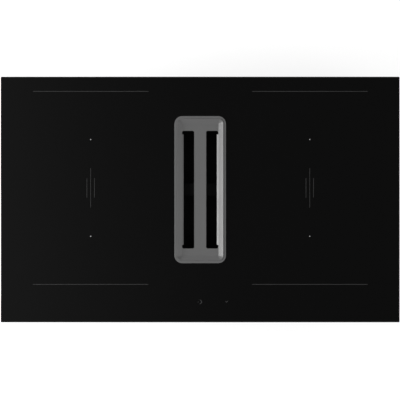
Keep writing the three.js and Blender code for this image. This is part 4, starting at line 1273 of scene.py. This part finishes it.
@dataclass
class Filter:
    """The grease filter: a coated basket with panels of expanded metal and a pinch grip."""

    mesh_pitch: Point2 = (7.6, 4.86)
    strand: float = 0.9
    sheet: float = 0.5
    trim: float = 1.13
    rim: float = 2.2
    rim_half: float = 0.9
    tuck: float = 0.1

    def build(self) -> None:
        """Builds the basket, its panels and the grip."""
        refined("filter_frame", BLACK_COAT, Edge.PLAIN, GlassTop.opening.axes(), Body.FILTER)
        # The grip wears the black moulding with painted shade.
        refined("filter_grip", SHADED_MOULDING, Edge.BROAD, (), Body.FILTER)
        low, high = (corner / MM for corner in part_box("filter_mesh_right"))
        for side, name in zip(SIDES, ("left", "right")):
            form = Form()
            self.strands(form, low, high)
            self.cut_ends(form, low.y + self.trim, high.y - self.trim)
            self.rims(form, low, high)
            bmesh.ops.scale(form.bm, vec=(side, 1, 1), verts=form.bm.verts)
            # The panels wear the stainless mesh with painted shade.
            form.piece("filter_panel_" + name, SHADED_MESH, ["filter_mesh_" + name], Body.FILTER)

    def strands(self, form: Form, low: Vector, high: Vector) -> None:
        """Adds two families of slanting strands, back to back.

        Args:
            form: The panel.
            low: The lowest corner of the right-hand panel.
            high: Its highest corner.
        """
        middle, half, pitch = (low.x + high.x) / 2, self.strand / 2, self.mesh_pitch[0]
        run = (high.z - low.z) * pitch / self.mesh_pitch[1]
        count = int((high.y - low.y + run) / pitch) + 1
        for lean, first, start in ((run, low.y - run, middle - self.sheet), (-run, low.y, middle)):
            for y in (first + i * pitch for i in range(count)):
                head = y + lean
                section = [
                    (y - half, low.z), (y + half, low.z), (head + half, high.z), (head - half, high.z)
                ]
                form.swept(section, start, start + self.sheet, Along.X)

    @staticmethod
    def cut_ends(form: Form, front: float, rear: float) -> None:
        """Cuts off the strands' ends and closes the cuts.

        Args:
            form: The panel.
            front: The limit that nothing lies before.
            rear: The limit that nothing lies behind.
        """
        for normal, limit in zip(SIDES, (front, rear)):
            cut = bmesh.ops.bisect_plane(
                form.bm, geom=[*form.bm.verts, *form.bm.edges, *form.bm.faces], plane_co=(0, limit, 0),
                plane_no=(0, normal, 0), clear_outer=True,
            )["geom_cut"]
            bmesh.ops.edgenet_fill(form.bm, edges=[e for e in cut if isinstance(e, BMEdge)])

    def rims(self, form: Form, low: Vector, high: Vector) -> None:
        """Adds the four bars of the rim, the upright ones a little inside the level ones.

        Args:
            form: The panel.
            low: The lowest corner of the right-hand panel.
            high: Its highest corner.
        """
        middle, rim, tuck = (low.x + high.x) / 2, self.rim, self.tuck
        for y0, y1, z0, z1 in (
            (low.y, high.y, low.z, low.z + rim), (low.y, high.y, high.z - rim, high.z),
            (low.y + tuck, low.y + rim, low.z + tuck, high.z - tuck),
            (high.y - rim, high.y - tuck, low.z + tuck, high.z - tuck),
        ):
            form.block((middle - self.rim_half, y0, z0), (middle + self.rim_half, y1, z1))


# ---------------------------------------------------------------------------------- induction units


@dataclass
class PowerBoard:
    """One side's power board: a card on posts, with its tall parts each in its own finish.

    The places of the parts are their front left corners or middles, from the card's middle.
    """

    side: int
    name: str
    x: float = 228.0
    y: float = 90.0
    top: float = -42.5
    card: Plan = Plan(210.0, 240.0, 3.0)
    card_thick: float = 1.6
    post_radius: float = 4.0
    post_inset: float = 7.0
    tray_floor: float = -48.8
    can_count: int = 3
    can_place: Point2 = (-83.0, -70.0)
    can_step: float = 40.0
    can: tuple[Point2, ...] = (
        (0.0, 0.0), (10.6, 0.0), (11.0, 1.2), (11.0, 2.2), (10.6, 2.8), (11.0, 3.4), (11.0, 22.8),
        (10.2, 23.6), (8.4, 23.6), (0.0, 23.2),
    )
    can_top: tuple[Point2, ...] = ((0.0, 23.3), (8.3, 23.3), (8.3, 23.8), (0.0, 23.8))
    relay_count: int = 3
    relay_place: Point2 = (71.0, 30.0)
    relay_step: float = 30.0
    relay: Point3 = (20.0, 16.0, 15.0)
    choke_count: int = 2
    choke_place: Point2 = (65.0, -78.0)
    choke_step: float = 50.0
    choke: Point3 = (28.0, 34.0, 20.0)
    choke_wall: float = 6.0
    choke_lap: float = 1.0
    choke_tuck: float = 0.3
    ease: float = 0.8
    winding_ease: float = 2.0

    def build(self) -> None:
        """Builds the card and its parts."""
        plan = self.card.at(self.side * self.x, self.y)
        card = Form().loft(plan, [(0.0, self.under), (0.0, self.top)], steps=3)
        self.piece("power_card", card, SOLDER_MASK)
        self.piece("card_posts", self.posts(), GREY_MOULDING)
        self.piece("capacitors", self.cans(self.can), BLACK_MOULDING)
        self.piece("capacitor_tops", self.cans(self.can_top), MILL_ALUMINIUM)
        cores, wires = self.chokes()
        self.piece("choke_cores", cores.soften(self.ease), BLACK_COAT)
        self.piece("choke_wires", wires.soften(self.winding_ease, segments=3), LITZ)
        self.piece("relays", self.relays().soften(self.ease), BLACK_MOULDING)

    @property
    def under(self) -> float:
        """The level of the card's underside."""
        return self.top - self.card_thick

    def piece(self, name: str, form: Form, finish: Finish) -> None:
        """Finishes a part of the board."""
        form.piece(f"{name}_{self.name}", finish, ["inverter_board_" + self.name])

    def spot(self, place: Point2, step: float = 0.0) -> Vector:
        """A place on the card, moved to the rear by a step."""
        return Vector((self.side * self.x + place[0], self.y + place[1] + step, self.top))

    def posts(self) -> Form:
        """Models the posts under the card.

        Returns:
            A post near each corner.
        """
        form = Form()
        low, high, radius = self.tray_floor, self.under, self.post_radius
        x, y = self.card.width / 2 - self.post_inset, self.card.length / 2 - self.post_inset
        for across, along in QUARTERS:
            place = self.spot((across * x, along * y))
            profile = [(0.0, low), (radius, low), (radius, high), (0.0, high)]
            form.turned(profile, steps=16, place=(*place.xy, 0.0))
        return form

    def cans(self, profile: Sequence[Point2]) -> Form:
        """Models one round part of the capacitors.

        Args:
            profile: Its radii and heights above the card.

        Returns:
            The part at each capacitor.
        """
        form = Form()
        for i in range(self.can_count):
            form.turned(profile, steps=32, place=self.spot(self.can_place, i * self.can_step))
        return form

    def relays(self) -> Form:
        """Models the relays.

        Returns:
            Plain boxes in a row.
        """
        form = Form()
        for i in range(self.relay_count):
            low = self.spot(self.relay_place, i * self.relay_step)
            form.block(low, low + Vector(self.relay))
        return form

    def chokes(self) -> tuple[Form, Form]:
        """Models the chokes.

        Returns:
            Their cores, and their windings.
        """
        cores, wires = Form(), Form()
        wall, lap, tuck = self.choke_wall, self.choke_lap, self.choke_tuck
        for i in range(self.choke_count):
            low = self.spot(self.choke_place, i * self.choke_step)
            high = low + Vector(self.choke)
            cores.block(low, (high.x, high.y, low.z + wall))
            cores.block((low.x, low.y, high.z - wall), high)
            for near, far in ((low.y + tuck, low.y + wall), (high.y - wall, high.y - tuck)):
                cores.block((low.x + tuck, near, low.z + lap), (high.x - tuck, far, high.z - lap))
            inside = Vector((lap, wall - lap, wall - lap))
            wires.block(low + inside, high - inside)
        return cores, wires


@dataclass
class InductionUnit:
    """One side's cooking zone: two coils on a carrier, and the power board, sink and fan below."""

    side: int
    name: str
    wheel: Body
    zone_x: float = 228.0
    coil: Plan = Plan(226.0, 190.0, 80.0)
    coil_y: Point2 = (-76.2, 124.8)
    band: float = 66.0
    turns: int = 20
    winding_top: float = 1.5
    winding_under: float = -4.7

    def build(self) -> None:
        """Builds everything on this side."""
        for y, place in zip(self.coil_y, ("front", "rear")):
            self.winding(y, f"{place}_{self.name}")
            refined(f"coil_former_{place}_{self.name}", GREY_MOULDING, Edge.PLAIN)
            refined(f"temperature_sensor_{place}_{self.name}", MILL_ALUMINIUM, Edge.FINE)
        for node, finish, edge in (
            ("coil_carrier_", MILL_ALUMINIUM, Edge.PLAIN), ("insulation_sheet_", MICA, Edge.SHARP),
            ("heat_sink_", MILL_ALUMINIUM, Edge.FINE), ("cooling_fan_frame_", BLACK_MOULDING, Edge.PLAIN),
        ):
            refined(node + self.name, finish, edge)
        refined("cooling_fan_rotor_" + self.name, GREY_MOULDING, Edge.FINE, (), self.wheel)
        PowerBoard(self.side, self.name).build()

    def winding(self, y: float, place: str) -> None:
        """Builds a flat coil whose turns of litz wire show as ridges.

        Args:
            y: The middle of the coil.
            place: Which coil it is.
        """
        pitch = self.band / self.turns
        profile: list[Point2] = [(self.band, self.winding_under), (0.0, self.winding_under)]
        for i in range(self.turns):
            ridge = arc((i + 0.5) * pitch, self.winding_top - pitch / 2, pitch / 2, 180, 0, steps=4)
            profile.extend(ridge[1:] if i else ridge)
        form = Form().loft(self.coil.at(self.side * self.zone_x, y), profile, steps=6, joined=True)
        form.piece("litz_winding_" + place, LITZ, ["coil_winding_" + place])


# ---------------------------------------------------------------------------------- extractor


@dataclass
class Extractor:
    """The air path from the intake shaft to the spigot, the blower, and the container below."""

    blower: Axis = Axis(196.125, -10.0, 0.26)
    spout: Axis = Axis(0.0, 20.5)
    container: Plan = Plan(109.0, 246.0, 10.0, 0.0, 20.5)
    tongue_radius: float = 97.0
    tongue_deg: float = 40.0
    growth: float = 70.0
    flange_middle: float = 5.6
    flange_under: float = -103.9
    flange_deg: range = range(75, 346, 30)
    flange_left: float = 82.0
    base_under: float = -176.7
    base_screw: float = 38.5
    base_deg: range = range(30, 360, 60)
    exit_front: float = 92.85
    exit_x: Point2 = (270.4, 363.1)
    exit_under: float = -176.6
    exit_shares: Point3 = (0.08, 0.5, 0.92)

    def build(self) -> None:
        """Builds the housings, the blower and the container."""
        axes = [self.blower, self.spout, *GlassTop.opening.axes()]
        for node, finish in (
            # The intake shaft wears the black moulding with painted shade.
            ("intake_shaft", SHADED_MOULDING), ("duct_housing_upper", BLACK_MOULDING),
            ("duct_housing_lower", BLACK_MOULDING), ("scroll_cover", GREY_MOULDING),
            ("outlet_duct", BLACK_MOULDING),
        ):
            refined(node, finish, Edge.MOULDED, axes)
        refined("overflow_container", GREY_MOULDING, Edge.MOULDED, self.container.axes(), Body.CONTAINER)
        refined("impeller", BLACK_MOULDING, Edge.FINE, (), Body.BLOWER_WHEEL)
        refined("motor_rotor_can", BRIGHT_STEEL, Edge.MOULDED, [self.blower], Body.BLOWER_WHEEL)
        refined("motor_shaft", BRIGHT_STEEL, Edge.FINE, (), Body.BLOWER_WHEEL)
        refined("motor_stator", LITZ, Edge.PLAIN)
        refined("motor_base", MILL_ALUMINIUM, Edge.PLAIN, [self.blower])
        for place in ("upper", "lower"):
            refined("bearing_" + place, BRIGHT_STEEL, Edge.FINE)
        Screw(radius=2.5, high=1.6, recess=0.8).row("housing_screws", self.screws())

    def around(self, degrees: float, reach: float) -> Point2:
        """A point at an angle and a distance from the blower's axis."""
        angle = math.radians(degrees)
        return self.blower.x + reach * math.cos(angle), self.blower.y + reach * math.sin(angle)

    def screws(self) -> Iterator[Seat]:
        """Lists the screws round the scroll's flange, at the motor's flange and at the exit.

        Returns:
            The seat of each.
        """
        for degrees in self.flange_deg:
            share = (degrees - self.tongue_deg) / (360 - self.tongue_deg)
            x, y = self.around(degrees, self.tongue_radius + self.growth * share + self.flange_middle)
            if x > self.flange_left:
                yield (x, y, self.flange_under), Facing.DOWN
        for degrees in self.base_deg:
            yield (*self.around(degrees, self.base_screw), self.base_under), Facing.DOWN
        for share in self.exit_shares:
            x = self.exit_x[0] + share * (self.exit_x[1] - self.exit_x[0])
            yield (x, self.exit_front, self.exit_under), Facing.FRONT


# ---------------------------------------------------------------------------------- controls and mains


@dataclass
class Controls:
    """The touch panel under the front edge of the glass."""

    guide_edge: Edge = Edge.FINE
    card_edge: Edge = Edge.SHARP
    bracket_edge: Edge = Edge.PLAIN

    def build(self) -> None:
        """Builds the light guide, its card and the bracket."""
        refined("display_light_guide", BLACK_MOULDING, self.guide_edge)
        refined("touch_control_board", SOLDER_MASK, self.card_edge)
        refined("control_bracket", GREY_MOULDING, self.bracket_edge)


@dataclass
class Mains:
    """The connection box under the tray."""

    middle: Point3 = (-300.0, 118.0, -58.2)
    poles: int = 5
    half: float = 35.0

    def build(self) -> None:
        """Builds the box, its lid, the terminals and the gland."""
        refined("terminal_box", BLACK_MOULDING, Edge.PLAIN)
        refined("terminal_lid", BLACK_MOULDING, Edge.PLAIN, (), Body.LID)
        refined("terminal_block", CERAMIC, Edge.PLAIN)
        refined("cable_gland", GREY_MOULDING, Edge.PLAIN)
        Screw(radius=3.0, high=2.0, recess=1.2).row("pole_screws", self.screws())

    def screws(self) -> Iterator[Seat]:
        """Lists the screws in the wells of the terminal block.

        Returns:
            The seat of each.
        """
        x, y, z = self.middle
        for i in range(self.poles):
            yield (x + self.half * ((2 * i + 1) / self.poles - 1), y, z), Facing.DOWN


def main() -> None:
    """Builds every sub-assembly in order."""
    logging.basicConfig(level=logging.INFO, format="%(message)s")
    Studio().build()
    for assembly in (
        GlassTop(), Grille(), Tray(), Filter(), InductionUnit(-1, "left", Body.FAN_LEFT),
        InductionUnit(1, "right", Body.FAN_RIGHT), Controls(), Extractor(), Mains(),
    ):
        assembly.build()


if __name__ == "__main__":
    main()
